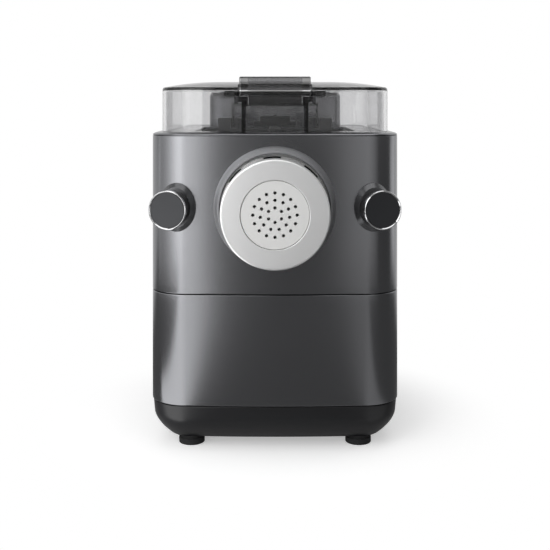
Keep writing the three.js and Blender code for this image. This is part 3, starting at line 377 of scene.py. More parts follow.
def ringTool(name, round):
    # pieces set evenly round an axis along Y: blocks, or round pegs along the axis
    tree, given = newTool(name, [("Count", "Int"), ("Ring Radius", "Float"), ("Centre", "Vector"),
                                 ("Start Angle", "Float"), ("Size", "Vector"), ("Material", "Material")])
    points = put(tree, "GeometryNodePoints", {"Count": given["Count"]})
    index = put(tree, "GeometryNodeInputIndex")
    step = calc(tree, "DIVIDE", math.tau, given["Count"])
    angle = calc(tree, "MULTIPLY_ADD", index.outputs[0], step, given["Start Angle"])
    sine = calc(tree, "SINE", angle)
    cosine = calc(tree, "COSINE", angle)
    way = put(tree, "ShaderNodeCombineXYZ", {"X": sine, "Z": cosine})
    reach = put(tree, "ShaderNodeVectorMath", {0: way.outputs[0], "Scale": given["Ring Radius"]},
                operation="SCALE")
    place = put(tree, "ShaderNodeVectorMath", {0: reach.outputs[0], 1: given["Centre"]}, operation="ADD")
    placed = put(tree, "GeometryNodeSetPosition",
                 {"Geometry": points.outputs[0], "Position": place.outputs[0]})
    turn = put(tree, "ShaderNodeCombineXYZ", {"Y": angle})
    if round:
        sizes = put(tree, "ShaderNodeSeparateXYZ", {0: given["Size"]})
        peg = put(tree, "GeometryNodeMeshCylinder", {"Vertices": 20, "Radius": sizes.outputs[0],
                                                     "Depth": sizes.outputs[1]})
        piece = put(tree, "GeometryNodeTransform",
                    {"Geometry": peg.outputs[0], "Rotation": (math.pi / 2, 0, 0)})
    else:
        piece = put(tree, "GeometryNodeMeshCube", {"Size": given["Size"]})
    copies = put(tree, "GeometryNodeInstanceOnPoints",
                 {"Points": placed.outputs[0], "Instance": piece.outputs[0],
                                                        "Rotation": turn.outputs[0]})
    closeTool(tree, copies.outputs[0], given["Material"])
    return tree


def slotTool():
    # a row of slots with round ends, cut along the way from Start to End
    tree, given = newTool("rowOfSlots", [("Count", "Int"), ("First Place", "Vector"), ("Pitch", "Vector"),
                                         ("Start", "Vector"), ("End", "Vector"), ("Length", "Float"),
                                         ("Width", "Float"), ("Material", "Material")])
    line = put(tree, "GeometryNodeMeshLine", {"Count": given["Count"], "Start Location": given["First Place"],
                                              "Offset": given["Pitch"]}, mode="OFFSET")
    shape = put(tree, "GeometryNodeCurvePrimitiveQuadrilateral", {"Width": given["Length"],
                                                                  "Height": given["Width"]})
    narrow = calc(tree, "MINIMUM", given["Length"], given["Width"])
    corner = calc(tree, "MULTIPLY", narrow, 0.48)
    rounding = put(tree, "GeometryNodeFilletCurve", {"Curve": shape.outputs[0], "Count": 6,
                                                     "Radius": corner}, mode="POLY")
    way = put(tree, "GeometryNodeCurvePrimitiveLine", {"Start": given["Start"], "End": given["End"]})
    level = put(tree, "GeometryNodeSetCurveNormal", {"Curve": way.outputs[0]}, mode="Z_UP")
    cutter = put(tree, "GeometryNodeCurveToMesh",
                 {"Curve": level.outputs[0], "Profile Curve": rounding.outputs[0],
                                                   "Fill Caps": True})
    copies = put(tree, "GeometryNodeInstanceOnPoints",
                 {"Points": line.outputs[0], "Instance": cutter.outputs[0]})
    closeTool(tree, copies.outputs[0], given["Material"])
    return tree


def spiralTool():
    # a screw flight of even pitch round an axis along Y
    tree, given = newTool("screwFlight", [("Pitch", "Float"), ("Length", "Float"), ("Radius", "Float"),
                                          ("Width", "Float"), ("Thickness", "Float"),
                                          ("Start Place", "Vector"),
                                          ("Material", "Material")])
    turns = calc(tree, "DIVIDE", given["Length"], given["Pitch"])
    half = calc(tree, "MULTIPLY_ADD", given["Width"], -0.5, given["Radius"])
    path = put(tree, "GeometryNodeCurveSpiral", {"Resolution": 48, "Rotations": turns,
                                                 "Start Radius": half, "End Radius": half,
                                                 "Height": given["Length"]})
    level = put(tree, "GeometryNodeSetCurveNormal", {"Curve": path.outputs[0]}, mode="Z_UP")
    profile = put(tree, "GeometryNodeCurvePrimitiveQuadrilateral", {"Width": given["Width"],
                                                                    "Height": given["Thickness"]})
    flight = put(tree, "GeometryNodeCurveToMesh",
                 {"Curve": level.outputs[0], "Profile Curve": profile.outputs[0],
                                                   "Fill Caps": True})
    laid = put(tree, "GeometryNodeTransform",
               {"Geometry": flight.outputs[0], "Translation": given["Start Place"],
                                               "Rotation": (math.pi / 2, 0, 0)})
    closeTool(tree, laid.outputs[0], given["Material"])
    return tree


ringOfBlocks = ringTool("ringOfBlocks", False)
ringOfPegs = ringTool("ringOfPegs", True)
rowOfSlots = slotTool()
screwFlight = spiralTool()
print("tools made")


# shared finishes: moulded grain, turned lines and settled dust
def shaderGroup(name, inputs, outputs):
    tree = bpy.data.node_groups.new(name, "ShaderNodeTree")
    for label, kind, value in inputs:
        socket = tree.interface.new_socket(label, in_out="INPUT", socket_type="NodeSocket" + kind)
        socket.default_value = value
    for label in outputs:
        kind = "NodeSocketColor" if label == "Color" else "NodeSocketFloat"
        tree.interface.new_socket(label, in_out="OUTPUT", socket_type=kind)
    return tree, put(tree, "NodeGroupInput").outputs


def varied(tree, given, pattern, fine):
    # the plain roughness moved up and down by a pattern, and the fine pattern as a height
    off = calc(tree, "SUBTRACT", pattern, 0.5)
    rough = calc(tree, "MULTIPLY_ADD", off, given["Spread"], given["Roughness"])
    height = calc(tree, "MULTIPLY", fine, given["Depth"])
    put(tree, "NodeGroupOutput", {"Roughness": rough, "Height": height})


finishInputs = [("Vector", "Vector", (0, 0, 0)), ("Scale", "Float", 900.0), ("Roughness", "Float", 0.4),
                ("Spread", "Float", 0.06), ("Depth", "Float", 0.3)]


def grainGroup():
    tree, given = shaderGroup("mouldedGrain", finishInputs, ["Roughness", "Height"])
    fine = put(tree, "ShaderNodeTexNoise",
               {"Vector": given["Vector"], "Scale": given["Scale"], "Detail": 2.0})
    wide = put(tree, "ShaderNodeTexNoise", {"Vector": given["Vector"], "Scale": 26.0, "Detail": 3.0})
    varied(tree, given, wide.outputs[0], fine.outputs[0])
    return tree


def turnedGroup():
    # fine rings round the nozzle's axis
    tree, given = shaderGroup("turnedLines", finishInputs, ["Roughness", "Height"])
    centred = put(tree, "ShaderNodeVectorMath", {0: given["Vector"], 1: (0, 0, casing["axisHeight"] * mm)},
                  operation="SUBTRACT")
    flat = put(tree, "ShaderNodeVectorMath", {0: centred.outputs[0], 1: (1, 0, 1)}, operation="MULTIPLY")
    reach = put(tree, "ShaderNodeVectorMath", {0: flat.outputs[0]}, operation="LENGTH")
    along = put(tree, "ShaderNodeSeparateXYZ", {0: centred.outputs[0]})
    both = calc(tree, "ADD", reach.outputs["Value"], along.outputs[1])
    lines = calc(tree, "MULTIPLY", both, given["Scale"])
    noise = put(tree, "ShaderNodeTexNoise", {"W": lines, "Scale": 1.0, "Detail": 3.0},
                noise_dimensions="1D")
    varied(tree, given, noise.outputs[0], noise.outputs[0])
    return tree


def dustGroup():
    # a little dust on faces that look up
    tree, given = shaderGroup("settledDust", [
        ("Normal", "Vector", (0, 0, 1)), ("Vector", "Vector", (0, 0, 0)),
        ("Color", "Color", (0.1, 0.1, 0.1, 1)),
        ("Dust Color", "Color", (0.5, 0.49, 0.47, 1)), ("Amount", "Float", 0.03)], ["Color"])
    parts = put(tree, "ShaderNodeSeparateXYZ", {0: given["Normal"]})
    facing = put(tree, "ShaderNodeMapRange", {"Value": parts.outputs[2], "From Min": 0.6, "From Max": 1.0})
    cloud = put(tree, "ShaderNodeTexNoise", {"Vector": given["Vector"], "Scale": 60.0, "Detail": 4.0})
    mask = calc(tree, "MULTIPLY", facing.outputs[0], cloud.outputs[0])
    share = calc(tree, "MULTIPLY", mask, given["Amount"])
    mixed = put(tree, "ShaderNodeMix", {0: share, 6: given["Color"], 7: given["Dust Color"]},
                data_type="RGBA")
    put(tree, "NodeGroupOutput", {"Color": mixed.outputs[2]})
    return tree


def insideBox(tree, place, low, high):
    above = put(tree, "ShaderNodeVectorMath", {0: place, 1: low}, operation="SUBTRACT")
    below = put(tree, "ShaderNodeVectorMath", {0: high, 1: place}, operation="SUBTRACT")
    least = put(tree, "ShaderNodeVectorMath", {0: above.outputs[0], 1: below.outputs[0]}, operation="MINIMUM")
    parts = put(tree, "ShaderNodeSeparateXYZ", {0: least.outputs[0]})
    two = calc(tree, "MINIMUM", parts.outputs[0], parts.outputs[1])
    three = calc(tree, "MINIMUM", two, parts.outputs[2])
    return calc(tree, "GREATER_THAN", three, 0.0)


def zoneGroup(name, ring):
    # painted light and shade: another colour inside a box mirrored in x, or inside a ring round the nozzle's
    # axis
    tree, given = shaderGroup(name, [
        ("Vector", "Vector", (0, 0, 0)), ("Low", "Vector", (0, 0, 0)), ("High", "Vector", (1, 1, 1)),
        ("Color", "Color", (0.5, 0.5, 0.5, 1)), ("Light And Shade Color", "Color", (0.1, 0.1, 0.1, 1))], ["Color"])
    parts = put(tree, "ShaderNodeSeparateXYZ", {0: given["Vector"]})
    if ring:
        rise = calc(tree, "SUBTRACT", parts.outputs[2], casing["axisHeight"] * mm)
        flat = put(tree, "ShaderNodeCombineXYZ", {0: parts.outputs[0], 2: rise})
        reach = put(tree, "ShaderNodeVectorMath", {0: flat.outputs[0]}, operation="LENGTH")
        place = put(tree, "ShaderNodeCombineXYZ", {0: reach.outputs["Value"], 1: parts.outputs[1]})
    else:
        across = calc(tree, "ABSOLUTE", parts.outputs[0])
        place = put(tree, "ShaderNodeCombineXYZ", {0: across, 1: parts.outputs[1], 2: parts.outputs[2]})
    mask = insideBox(tree, place.outputs[0], given["Low"], given["High"])
    mixed = put(tree, "ShaderNodeMix", {0: mask, 6: given["Color"], 7: given["Light And Shade Color"]}, data_type="RGBA")
    put(tree, "NodeGroupOutput", {"Color": mixed.outputs[2]})
    return tree


mouldedGrain = grainGroup()
turnedLines = turnedGroup()
settledDust = dustGroup()
boxShadeZone = zoneGroup("boxShadeZone", False)
ringLightAndShadeZone = zoneGroup("ringLightAndShadeZone", True)


def newMaterial(name, look):
    material = bpy.data.materials.new(name)
    material.use_nodes = True
    tree = material.node_tree
    shader = tree.nodes["Principled BSDF"]
    shader.inputs["Metallic"].default_value = look.get("metallic", 0.0)
    shader.inputs["Coat Weight"].default_value = look.get("coat", 0.0)
    shader.inputs["Coat Roughness"].default_value = look.get("coatRoughness", 0.08)
    shader.inputs["Specular IOR Level"].default_value = look.get("specular", 0.5)
    shader.inputs["Transmission Weight"].default_value = look.get("clear", 0.0)
    coords = put(tree, "ShaderNodeTexCoord")
    grain = put(tree, "ShaderNodeGroup", node_tree=look.get("pattern", mouldedGrain))
    tree.links.new(coords.outputs["Object"], grain.inputs["Vector"])
    for label, value in (("Scale", look.get("scale", 900.0)), ("Roughness", look["roughness"]),
                         ("Spread", look.get("spread", 0.06)), ("Depth", look.get("depth", 0.3))):
        grain.inputs[label].default_value = value
    tree.links.new(grain.outputs["Roughness"], shader.inputs["Roughness"])
    bump = put(tree, "ShaderNodeBump",
               {"Height": grain.outputs["Height"], "Distance": look.get("relief", 0.00004)})
    tree.links.new(bump.outputs[0], shader.inputs["Normal"])
    dust = put(tree, "ShaderNodeGroup", node_tree=settledDust)
    tree.links.new(coords.outputs["Normal"], dust.inputs["Normal"])
    tree.links.new(coords.outputs["Object"], dust.inputs["Vector"])
    dust.inputs["Color"].default_value = (*look["color"], 1)
    dust.inputs["Amount"].default_value = look.get("dust", 0.03)
    color = dust.outputs["Color"]
    # the zones' painted shade and painted light, laid over the colour
    kind, zones = look.get("zones", (None, {}))
    for low, high, tone in zones.values():
        zone = put(tree, "ShaderNodeGroup", node_tree=kind)
        tree.links.new(coords.outputs["Object"], zone.inputs["Vector"])
        tree.links.new(color, zone.inputs["Color"])
        zone.inputs["Low"].default_value = Vector(low) * mm
        zone.inputs["High"].default_value = Vector(high) * mm
        zone.inputs["Light And Shade Color"].default_value = (tone, tone, tone, 1)
        color = zone.outputs["Color"]
    tree.links.new(color, shader.inputs["Base Color"])
    return material


# places of painted shade, and on the boss of painted light: low corner, high corner and tone, or for a ring
# (radius, place along Y, -1 or 1)
# painted shade on the clear lid: its recess walls and step, back corners, the lugs round the latch pin and
# its top made darker where they look dark
lidShadeZones = {
    "recessSides": ((28.3, -112, 302), (31.7, -89.8, 331), 0.1),
    "upperSides": ((35.3, -112, 329), (38.7, -89.8, 346), 0.3),
    "recessStep": ((28.3, -112, 330.8), (35.6, -89.8, 334.2), 0.12),
    "backCorners": ((24, -94, 329), (36, -89.5, 338), 0.1),
    "pinLugs": ((35.3, -109, 336.4), (48.2, -97, 341.6), 0.05),
    "dome": ((-1, -120, 345.3), (120, 100, 352), 0.15),
}
# painted shade on the clear latch: its arms and their edges, the tab, the grip's floor and ends, and the
# bright line round the pin hole made darker
latchShadeZones = {
    "arms": ((-1, -99.6, 305), (42, -91, 330), 0.16),
    "armEdges": ((40.4, -99.6, 305), (42, -91, 330), 0.01),
    "armTops": ((30, -99.6, 328.3), (42, -91, 330), 0.01),
    "tab": ((-1, -115, 326), (26.5, -107.5, 339.5), 0.4),
    "gripFloor": ((-1, -109, 343.5), (24, -97, 346.2), 0.12),
    "gripEnds": ((25.8, -116, 343.4), (36, -94, 353.6), 0.3),
    "underHandle": ((-1, -107.4, 335), (36, -98.5, 343.4), 0.2),
}
# painted shade on the nut: near black in the neck and notches and behind the flange, darker on the flange's
# edge
nutShadeZones = {
    "neckAndNotches": ((44, -157, -1), (48.65, -120, 1), 0.01),
    "flangeEdge": ((48.66, -153.5, -1), (51, -149.8, 1), 0.4),
    "flangeBack": ((44, -149.7, -1), (51, -148.9, 1), 0.01),
}
# painted light: the boss's shaded recess floor made lighter
bossLightZones = {"recessFloor": ((40, -126, -1), (51.5, -124, 1), 0.9)}
finishes = {
    "shellPaint": {"color": (0.212, 0.214, 0.224), "roughness": 0.21, "metallic": 0.95, "spread": 0.02,
                   "depth": 0.1},
    # a lighter copy of the shell paint for the boss, painted light; it also differs in roughness and metal
    "bossLitPaint": {"color": (0.28, 0.283, 0.295), "roughness": 0.35, "metallic": 0.3, "spread": 0.02,
                  "depth": 0.1, "zones": (ringLightAndShadeZone, bossLightZones)},
    "basePlastic": {"color": (0.01, 0.01, 0.0115), "roughness": 0.33, "depth": 0.5},
    "knobPlastic": {"color": (0.014, 0.014, 0.015), "roughness": 0.3},
    "collarSatin": {"color": (0.11, 0.111, 0.116), "roughness": 0.27, "metallic": 0.6, "spread": 0.03},
    "knobFace": {"color": (0.024, 0.025, 0.028), "roughness": 0.36, "metallic": 0.4},
    "chromeTrim": {"color": (0.62, 0.62, 0.63), "roughness": 0.14, "metallic": 1.0, "spread": 0.04,
                   "depth": 0.05},
    "nutSilver": {"color": (0.86, 0.86, 0.86), "roughness": 0.4, "metallic": 0.9, "pattern": turnedLines,
                  "scale": 3800.0, "spread": 0.08, "depth": 0.3, "zones": (ringLightAndShadeZone, nutShadeZones)},
    "discWhite": {"color": (0.72, 0.72, 0.71), "roughness": 0.42},
    "innerGrey": {"color": (0.045, 0.045, 0.046), "roughness": 0.45, "depth": 0.4},
    "rubberBlack": {"color": (0.014, 0.014, 0.015), "roughness": 0.8, "spread": 0.1, "depth": 1.0},
    "steelBright": {"color": (0.55, 0.55, 0.56), "roughness": 0.3, "metallic": 1.0, "pattern": turnedLines,
                    "scale": 3000.0, "spread": 0.12},
    "consoleGloss": {"color": (0.01, 0.01, 0.011), "roughness": 0.12, "coat": 0.6, "spread": 0.03,
                     "depth": 0.0},
    "windowGloss": {"color": (0.004, 0.005, 0.007), "roughness": 0.05, "coat": 1.0, "spread": 0.02,
                    "depth": 0.0},
    "keyGrey": {"color": (0.3, 0.3, 0.31), "roughness": 0.4, "depth": 0.2},
    "boardGreen": {"color": (0.02, 0.12, 0.06), "roughness": 0.5},
    "catchBlack": {"color": (0.014, 0.014, 0.015), "roughness": 0.35},
    "pinBlack": {"color": (0.01, 0.01, 0.011), "roughness": 0.4},
    "smokyLid": {"color": (0.74, 0.74, 0.745), "roughness": 0.03, "clear": 1.0, "spread": 0.02, "depth": 0.0,
                 "dust": 0.0, "zones": (boxShadeZone, lidShadeZones)},
    "smokyLatch": {"color": (0.46, 0.46, 0.465), "roughness": 0.04, "clear": 1.0, "spread": 0.03,
                   "depth": 0.0, "dust": 0.0, "zones": (boxShadeZone, latchShadeZones)},
}
made = {name: newMaterial(name, look) for name, look in finishes.items()}
print("materials made:", len(made))

seamY = casing["seamY"]


def wallLoop(low, high, edge, pitch=7):
    wall = casing["wall"]
    corners = [(0, low, edge), (wall, low), (wall, high), (0, high, edge)]
    return subdivided(rounded(corners), 1, pitch)


knobTilt = math.radians(14)
cornerX = casing["halfWidth"] - casing["frontRound"]
cornerY = casing["front"] + casing["crown"] - math.sqrt(
    (casing["crown"] - casing["frontRound"]) ** 2 - cornerX ** 2)


def knobFrame(side):
    return shift(side * cornerX, cornerY, casing["axisHeight"]) @ Matrix.Rotation(side * knobTilt, 4, "Z")


frontPanel = {"low": 149.8, "high": 298.8, "edge": 0.9, "boreRadius": 40.3, "boreFront": -180,
              "boreBack": -80, "stemHole": 5.6, "stemReach": -70}
panel = sweepPlan("front_cover_panel", casing, frontPath, seamY,
                  wallLoop(frontPanel["low"], frontPanel["high"], frontPanel["edge"]))
panelHoles = [rod("bore", frontPanel["boreRadius"], frontPanel["boreFront"], frontPanel["boreBack"], 96,
                  onAxis())]
for side in (-1, 1):
    panelHoles.append(rod("stem", frontPanel["stemHole"], 0, frontPanel["stemReach"], 32, knobFrame(side)))
combine(panel, panelHoles)
finishPiece(panel, made["shellPaint"], "front_cover", "satin_shell", "front_panel")

boss = {"radius": 57.6, "reach": 15.3, "lip": 2, "taper": 4.3, "recess": 5, "bore": 40.6, "root": 2.6,
        "bendIn": 0.3, "bendOut": 0.6, "bendRound": 6}
front = casing["front"]
lipY = front - boss["reach"]
lipOut = boss["radius"] - boss["taper"]
bossRing = turned("boss_ring", rounded([
    (boss["bore"], front + boss["root"]), (boss["radius"], front + boss["root"]), (boss["radius"], front),
    (boss["radius"] - boss["taper"] * boss["bendIn"], front - boss["reach"] * boss["bendOut"],
     boss["bendRound"]),
    (lipOut, lipY, 0.7), (lipOut - boss["lip"], lipY, 0.5),
    (lipOut - boss["lip"], front - boss["recess"], 0.6),
    (boss["bore"], front - boss["recess"]),
], 5), 144, onAxis(), 40)
# the boss wears the lighter, painted-light copy of the shell paint
finishPiece(bossRing, made["bossLitPaint"], "front_cover", "satin_shell")
finishPiece(bossRing, made["bossLitPaint"], "front_cover", "satin_shell")
print("front cover done")


collar = {"radius": 22.9, "rim": 1.9, "seatRadius": 19, "seatThick": 5, "stemHole": 5.6, "share": 0.8,
          "sides": 96}


def surfaceReach(side, across, out):
    # distance along the knob's axis to the casing's skin grown by out, at that distance across
    axis = Vector((side * math.sin(knobTilt), -math.cos(knobTilt)))
    sideways = Vector((math.cos(knobTilt), side * math.sin(knobTilt)))
    start = Vector((side * cornerX, cornerY)) + sideways * across
    centre = Vector((side * cornerX, cornerY))

    def onCircle(middle, radius):
        gap = start - middle
        b = gap.dot(axis)
        return -b + math.sqrt(max(b * b - gap.dot(gap) + radius * radius, 0))

    t = onCircle(centre, casing["frontRound"] + out)
    place = start + axis * t - centre
    angle = math.atan2(side * place.x, -place.y)
    turn = math.asin(cornerX / (casing["crown"] - casing["frontRound"]))
    if angle < turn:
        return onCircle(Vector((0, casing["front"] + casing["crown"])), casing["crown"] + out)
    if angle > math.pi / 2:
        return (casing["halfWidth"] + out - side * start.x) / (side * axis.x)
    return t


def knobCollar(side):
    # an upright oval: a low rim on the casing, a bevelled band, and a flat seat for the knob
    # each step is a radius, a distance out of the skin and a share of the way to the seat
    rim, inner = collar["radius"], collar["seatRadius"]
    seat = casing["frontRound"] + collar["seatThick"]
    steps = [(rim - 0.2, 0.3, 0), (rim, 0.5, 0), (rim, collar["rim"] - 0.4, 0),
             (rim - 0.35, collar["rim"], 0)]
    steps += [(rim - 0.35 + (inner - rim + 0.35) * k / 6, collar["rim"], k / 6) for k in range(1, 7)]
    steps += [(inner - 0.5, collar["rim"], 1), (collar["stemHole"] / collar["share"], 0, 1),
              (collar["stemHole"] / collar["share"], 0.3, 0)]
    rings = []
    for radius, out, lift in steps:
        ring = []
        for i in range(collar["sides"]):
            a = 2 * math.pi * i / collar["sides"]
            across, up = radius * collar["share"] * math.cos(a), radius * math.sin(a)
            if radius < inner - 1:
                up *= collar["share"]
            low = surfaceReach(side, across, out)
            ring.append((across, -(low + (max(seat, low) - low) * lift), up))
        rings.append(ring)
    return ringsMesh(f"{'left' if side < 0 else 'right'}_collar", rings, True, True, 28, knobFrame(side))


knob = {"radius": 19, "taper": 0.9, "footTaper": 4.2, "reach": 27, "stem": 5, "ring": 4, "ringThick": 1.7,
        "ringRound": 0.7, "ringSlope": 0.8, "ringSink": 1.0, "faceSink": 1.1, "dishEdge": 1.35, "dish": 1.4,
        "camRadius": 9, "camThick": 4, "camDepth": 5}


def buildKnob(side):
    name = "left" if side < 0 else "right"
    body = f"{name}_knob"
    foot = casing["frontRound"] + collar["seatThick"] + casing["fit"]
    face = casing["frontRound"] + knob["reach"]
    ringBase = face - knob["ring"]
    tip = knob["radius"] - knob["taper"]
    inside = casing["frontRound"] - knob["camDepth"]
    camBack = inside - knob["camThick"]
    grip = [(0, camBack), (knob["camRadius"], camBack, 0.5), (knob["camRadius"], inside, 0.5),
            (knob["stem"], inside), (knob["stem"], foot), (knob["radius"] - knob["footTaper"], foot, 1.2),
            (tip, ringBase, 0.25), (0, ringBase)]
    place = knobFrame(side)
    flip = lambda line: [(r, -t) for r, t in line]
    finishPiece(turned(f"{name}_grip", flip(rounded(grip, 4)), 96, place), made["knobPlastic"], body,
                "dark_plastic", f"{name}_knob")
    start = ringBase + casing["fit"]
    inner = tip - knob["ringThick"]
    ring = [(inner, start), (tip, start, 0.2), (tip, face - knob["ringRound"], 0.6),
            (tip - knob["ringSlope"], face, 0.3), (inner, face - knob["ringSink"], 0.1)]
    finishPiece(turned(f"{name}_ring", flip(rounded(ring, 5)), 96, place), made["chromeTrim"], body,
                "chrome_trim", f"{name}_knob_ring")
    edge = inner - casing["fit"] / 2
    cap = [(0, start), (edge, start), (edge, face - knob["faceSink"], 0.3),
           (edge * 0.5, face - knob["dishEdge"]), (0, face - knob["dish"])]
    finishPiece(turned(f"{name}_face", flip(rounded(cap, 4)), 96, place), made["knobFace"], body,
                "dark_plastic", f"{name}_knob_face")
    finishPiece(knobCollar(side), made["collarSatin"], "front_cover", "dark_plastic", f"{name}_knob_collar")


buildKnob(-1)
buildKnob(1)
print("knobs done")

drawer = {"low": 44.6, "high": 149.2, "edge": 0.9}
drawerFace = sweepPlan("drawer_face", casing, frontPath, seamY,
                       wallLoop(drawer["low"], drawer["high"], drawer["edge"]))
finishPiece(drawerFace, made["shellPaint"], "drawer", "satin_shell", "drawer_front")

# the opening for the power inlet is a block: spans along x, y and z
rear = {"low": 44.6, "edge": 0.9, "cutFront": 172, "cutBack": 186, "vents": 9, "ventPitch": 7,
        "ventLength": 92, "ventWidth": 3, "ventLow": 109.5, "inlet": ((29.7, 62.3), (172, 186), (59.7, 84.3))}
housing = sweepPlan("rear_housing", casing, rearPath, seamY + casing["seam"],
                    wallLoop(rear["low"], casing["panelTop"], rear["edge"]))
rearSlots = grown("rear_slots", rowOfSlots, {
    "Count": rear["vents"], "First Place": (0, 0, rear["ventLow"] * mm),
    "Pitch": (0, 0, rear["ventPitch"] * mm),
    "Start": (0, rear["cutFront"] * mm, 0), "End": (0, rear["cutBack"] * mm, 0),
    "Length": rear["ventLength"] * mm, "Width": rear["ventWidth"] * mm, "Material": made["shellPaint"]})
combine(housing, [rearSlots, boxOf("inlet", rear["inlet"])])
finishPiece(housing, made["shellPaint"], "housing", "satin_shell", "main_housing")

deck = {"rimHeight": 2.9, "rimInset": 9.5, "thick": 2.5, "steps": 9,
        "opening": ((-79, 79), (-82, 73), (280, 320)),
        "wires": ((-60, 60), (118, 160), (280, 320))}
plunger = {"y": 93.5, "hole": 2.3}


def topDeck():
    rings = []
    base = casing["top"] - deck["rimHeight"]
    for i in range(deck["steps"] + 1):
        a = math.pi / 2 * i / deck["steps"]
        inset = deck["rimInset"] * (1 - math.cos(a))
        rings.append([(x, y, base + deck["rimHeight"] * math.sin(a)) for x, y in outline(casing, inset)])
    rim = ringsMesh("top_deck_rim", rings)
    under = ringsMesh("under", [[(x, y, z) for x, y in outline(casing, casing["wall"])]
                                for z in (base - past, casing["top"] - deck["thick"])])
    hole = rod("hole", plunger["hole"], -10, 320, 24, upright(0, plunger["y"], 0))
    return combine(rim, [under, boxOf("opening", deck["opening"]), boxOf("wires", deck["wires"]), hole])


finishPiece(topDeck(), made["shellPaint"], "housing", "satin_shell", "top_deck")

base = {"bevelTop": 33, "bevelInset": 20.4, "crease": 2, "lip": 1, "power": 1.75, "steps": 14, "ventCount": 7,
        "ventPitch": 14, "ventWidth": 5, "ventLength": 60, "ventY": 90,
        "ventStart": 4, "ventEnd": 18, "foldOut": 1.2, "foldIn": 0.3, "foldRise": 0.25, "rimRound": 0.9,
        "rimIn": 0.25}


def skirtInset(z):
    rise = (base["bevelTop"] - z) / (base["bevelTop"] - casing["baseBottom"])
    return base["crease"] + (base["bevelInset"] - base["crease"]) * rise ** base["power"]


def baseTray():
    # the rim stops a little short of the drawer tray that slides over it
    low, top, wall = casing["baseBottom"], casing["baseTop"] - casing["rimGap"], casing["wall"]
    climb = [low + (base["bevelTop"] - low) * i / base["steps"] for i in range(1, base["steps"] + 1)]
    line = [(base["bevelInset"] + base["foldOut"], low),
            (base["bevelInset"] + base["foldIn"], low + base["foldRise"])]
    line += [(skirtInset(z), z) for z in climb]
    line += [(base["lip"], top - base["rimRound"]), (base["lip"] + base["rimIn"], top - base["rimIn"]),
             (base["lip"] + base["rimRound"], top), (base["lip"] + wall, top)]
    line += [(skirtInset(z) + wall, z) for z in reversed(climb[1:])]
    line.append((base["bevelInset"], low + wall))
    tray = ringsMesh("base_skirt", [[(x, y, z) for x, y in outline(casing, inset)] for inset, z in line])
    slots = grown("base_slots", rowOfSlots, {
        "Count": base["ventCount"], "Pitch": (base["ventPitch"] * mm, 0, 0),
        "First Place": (-base["ventPitch"] * (base["ventCount"] - 1) / 2 * mm, base["ventY"] * mm, 0),
        "Start": (0, 0, base["ventStart"] * mm), "End": (0, 0, base["ventEnd"] * mm),
        "Length": base["ventWidth"] * mm,
        "Width": base["ventLength"] * mm, "Material": made["basePlastic"]})
    return combine(tray, [slots])


baseObject = baseTray()
finishPiece(baseObject, made["basePlastic"], "housing", "dark_plastic", "base_tray")

feet = {"radius": 12.5, "neck": 10.8, "step": 5.6, "top": 8.7, "spread": 81, "frontY": -84, "backY": 144}
for end, y in (("front", feet["frontY"]), ("back", feet["backY"])):
    for name, side in (("left", -1), ("right", 1)):
        profile = rounded([(0, 0), (feet["radius"], 0, 0.8), (feet["radius"], feet["step"], 0.6),
                           (feet["neck"], feet["step"]), (feet["neck"], feet["top"]), (0, feet["top"])], 4)
        foot = turned(f"{end}_{name}_pad", profile, 64, upright(side * feet["spread"], y, 0))
        finishPiece(foot, made["rubberBlack"], "housing", "rubber", f"{end}_{name}_foot")
print("casing done")

nozzle = {"reach": 60, "nutRadius": 48.7, "nutFlange": 1.2, "flangeThick": 3, "nutPlate": 5, "nutSkirt": 26,
          "nutNeck": 47, "nutStop": 8, "bore": 40.3, "notches": 8, "notchTurn": -3, "notchIn": 4,
          "notchSize": (16, 7, 8), "discRadius": 30.4, "discShoulder": 38, "discBack": 52.3, "discStep": 5.3,
          "discSink": 0.8, "holeCounts": (6, 11, 16), "holeStep": 6.5, "holeRadius": 1.5, "holeLength": 20,
          "holeMiddle": 4}
faceY = front - nozzle["reach"]
rearY = faceY + nozzle["nutPlate"] + nozzle["nutSkirt"]
nutRadius, nutStop = nozzle["nutRadius"], front - nozzle["nutStop"]
flangeRadius, flangeY = nutRadius + nozzle["nutFlange"], rearY - nozzle["flangeThick"]
window = nozzle["discRadius"] + casing["fit"]
nut = turned("nozzle_nut", rounded([
    (window, faceY, 0.5), (nutRadius, faceY, 1.6), (nutRadius, flangeY), (flangeRadius, flangeY, 0.3),
    (flangeRadius, rearY, 0.3), (nozzle["nutNeck"], rearY), (nozzle["nutNeck"], nutStop),
    (nozzle["bore"], nutStop), (nozzle["bore"], faceY + nozzle["nutPlate"]),
    (window, faceY + nozzle["nutPlate"])], 5), 144, onAxis())
notches = grown("nut_notches", ringOfBlocks, {
    "Count": nozzle["notches"], "Ring Radius": (nutRadius + 1) * mm,
    "Start Angle": math.radians(nozzle["notchTurn"]),
    "Centre": (0, (rearY - nozzle["notchIn"]) * mm, casing["axisHeight"] * mm),
    "Size": [size * mm for size in nozzle["notchSize"]], "Material": made["nutSilver"]})
combine(nut, [notches])
finishPiece(nut, made["nutSilver"], "nut", "silver_metal", "retaining_nut")

discBack = front - nozzle["discBack"]
discStep = faceY + nozzle["discStep"]
discFace = faceY + nozzle["discSink"]
disc = turned("pasta_disc", rounded([
    (0, discBack), (nozzle["discShoulder"], discBack), (nozzle["discShoulder"], discStep),
    (nozzle["discRadius"], discStep), (nozzle["discRadius"], discFace, 0.8), (0, discFace)], 4), 128,
    onAxis())
discHoles = []
for ring, count in enumerate(nozzle["holeCounts"]):
    discHoles.append(grown("disc_holes", ringOfPegs, {
        "Count": count, "Ring Radius": nozzle["holeStep"] * (ring + 1) * mm, "Start Angle": 0.0,
        "Centre": (0, (faceY + nozzle["holeMiddle"]) * mm, casing["axisHeight"] * mm),
        "Size": (nozzle["holeRadius"] * mm, nozzle["holeLength"] * mm, 0), "Material": made["discWhite"]}))
combine(disc, discHoles)
finishPiece(disc, made["discWhite"], "front_cover", "white_disc", "shaping_disc")
print("nozzle done")

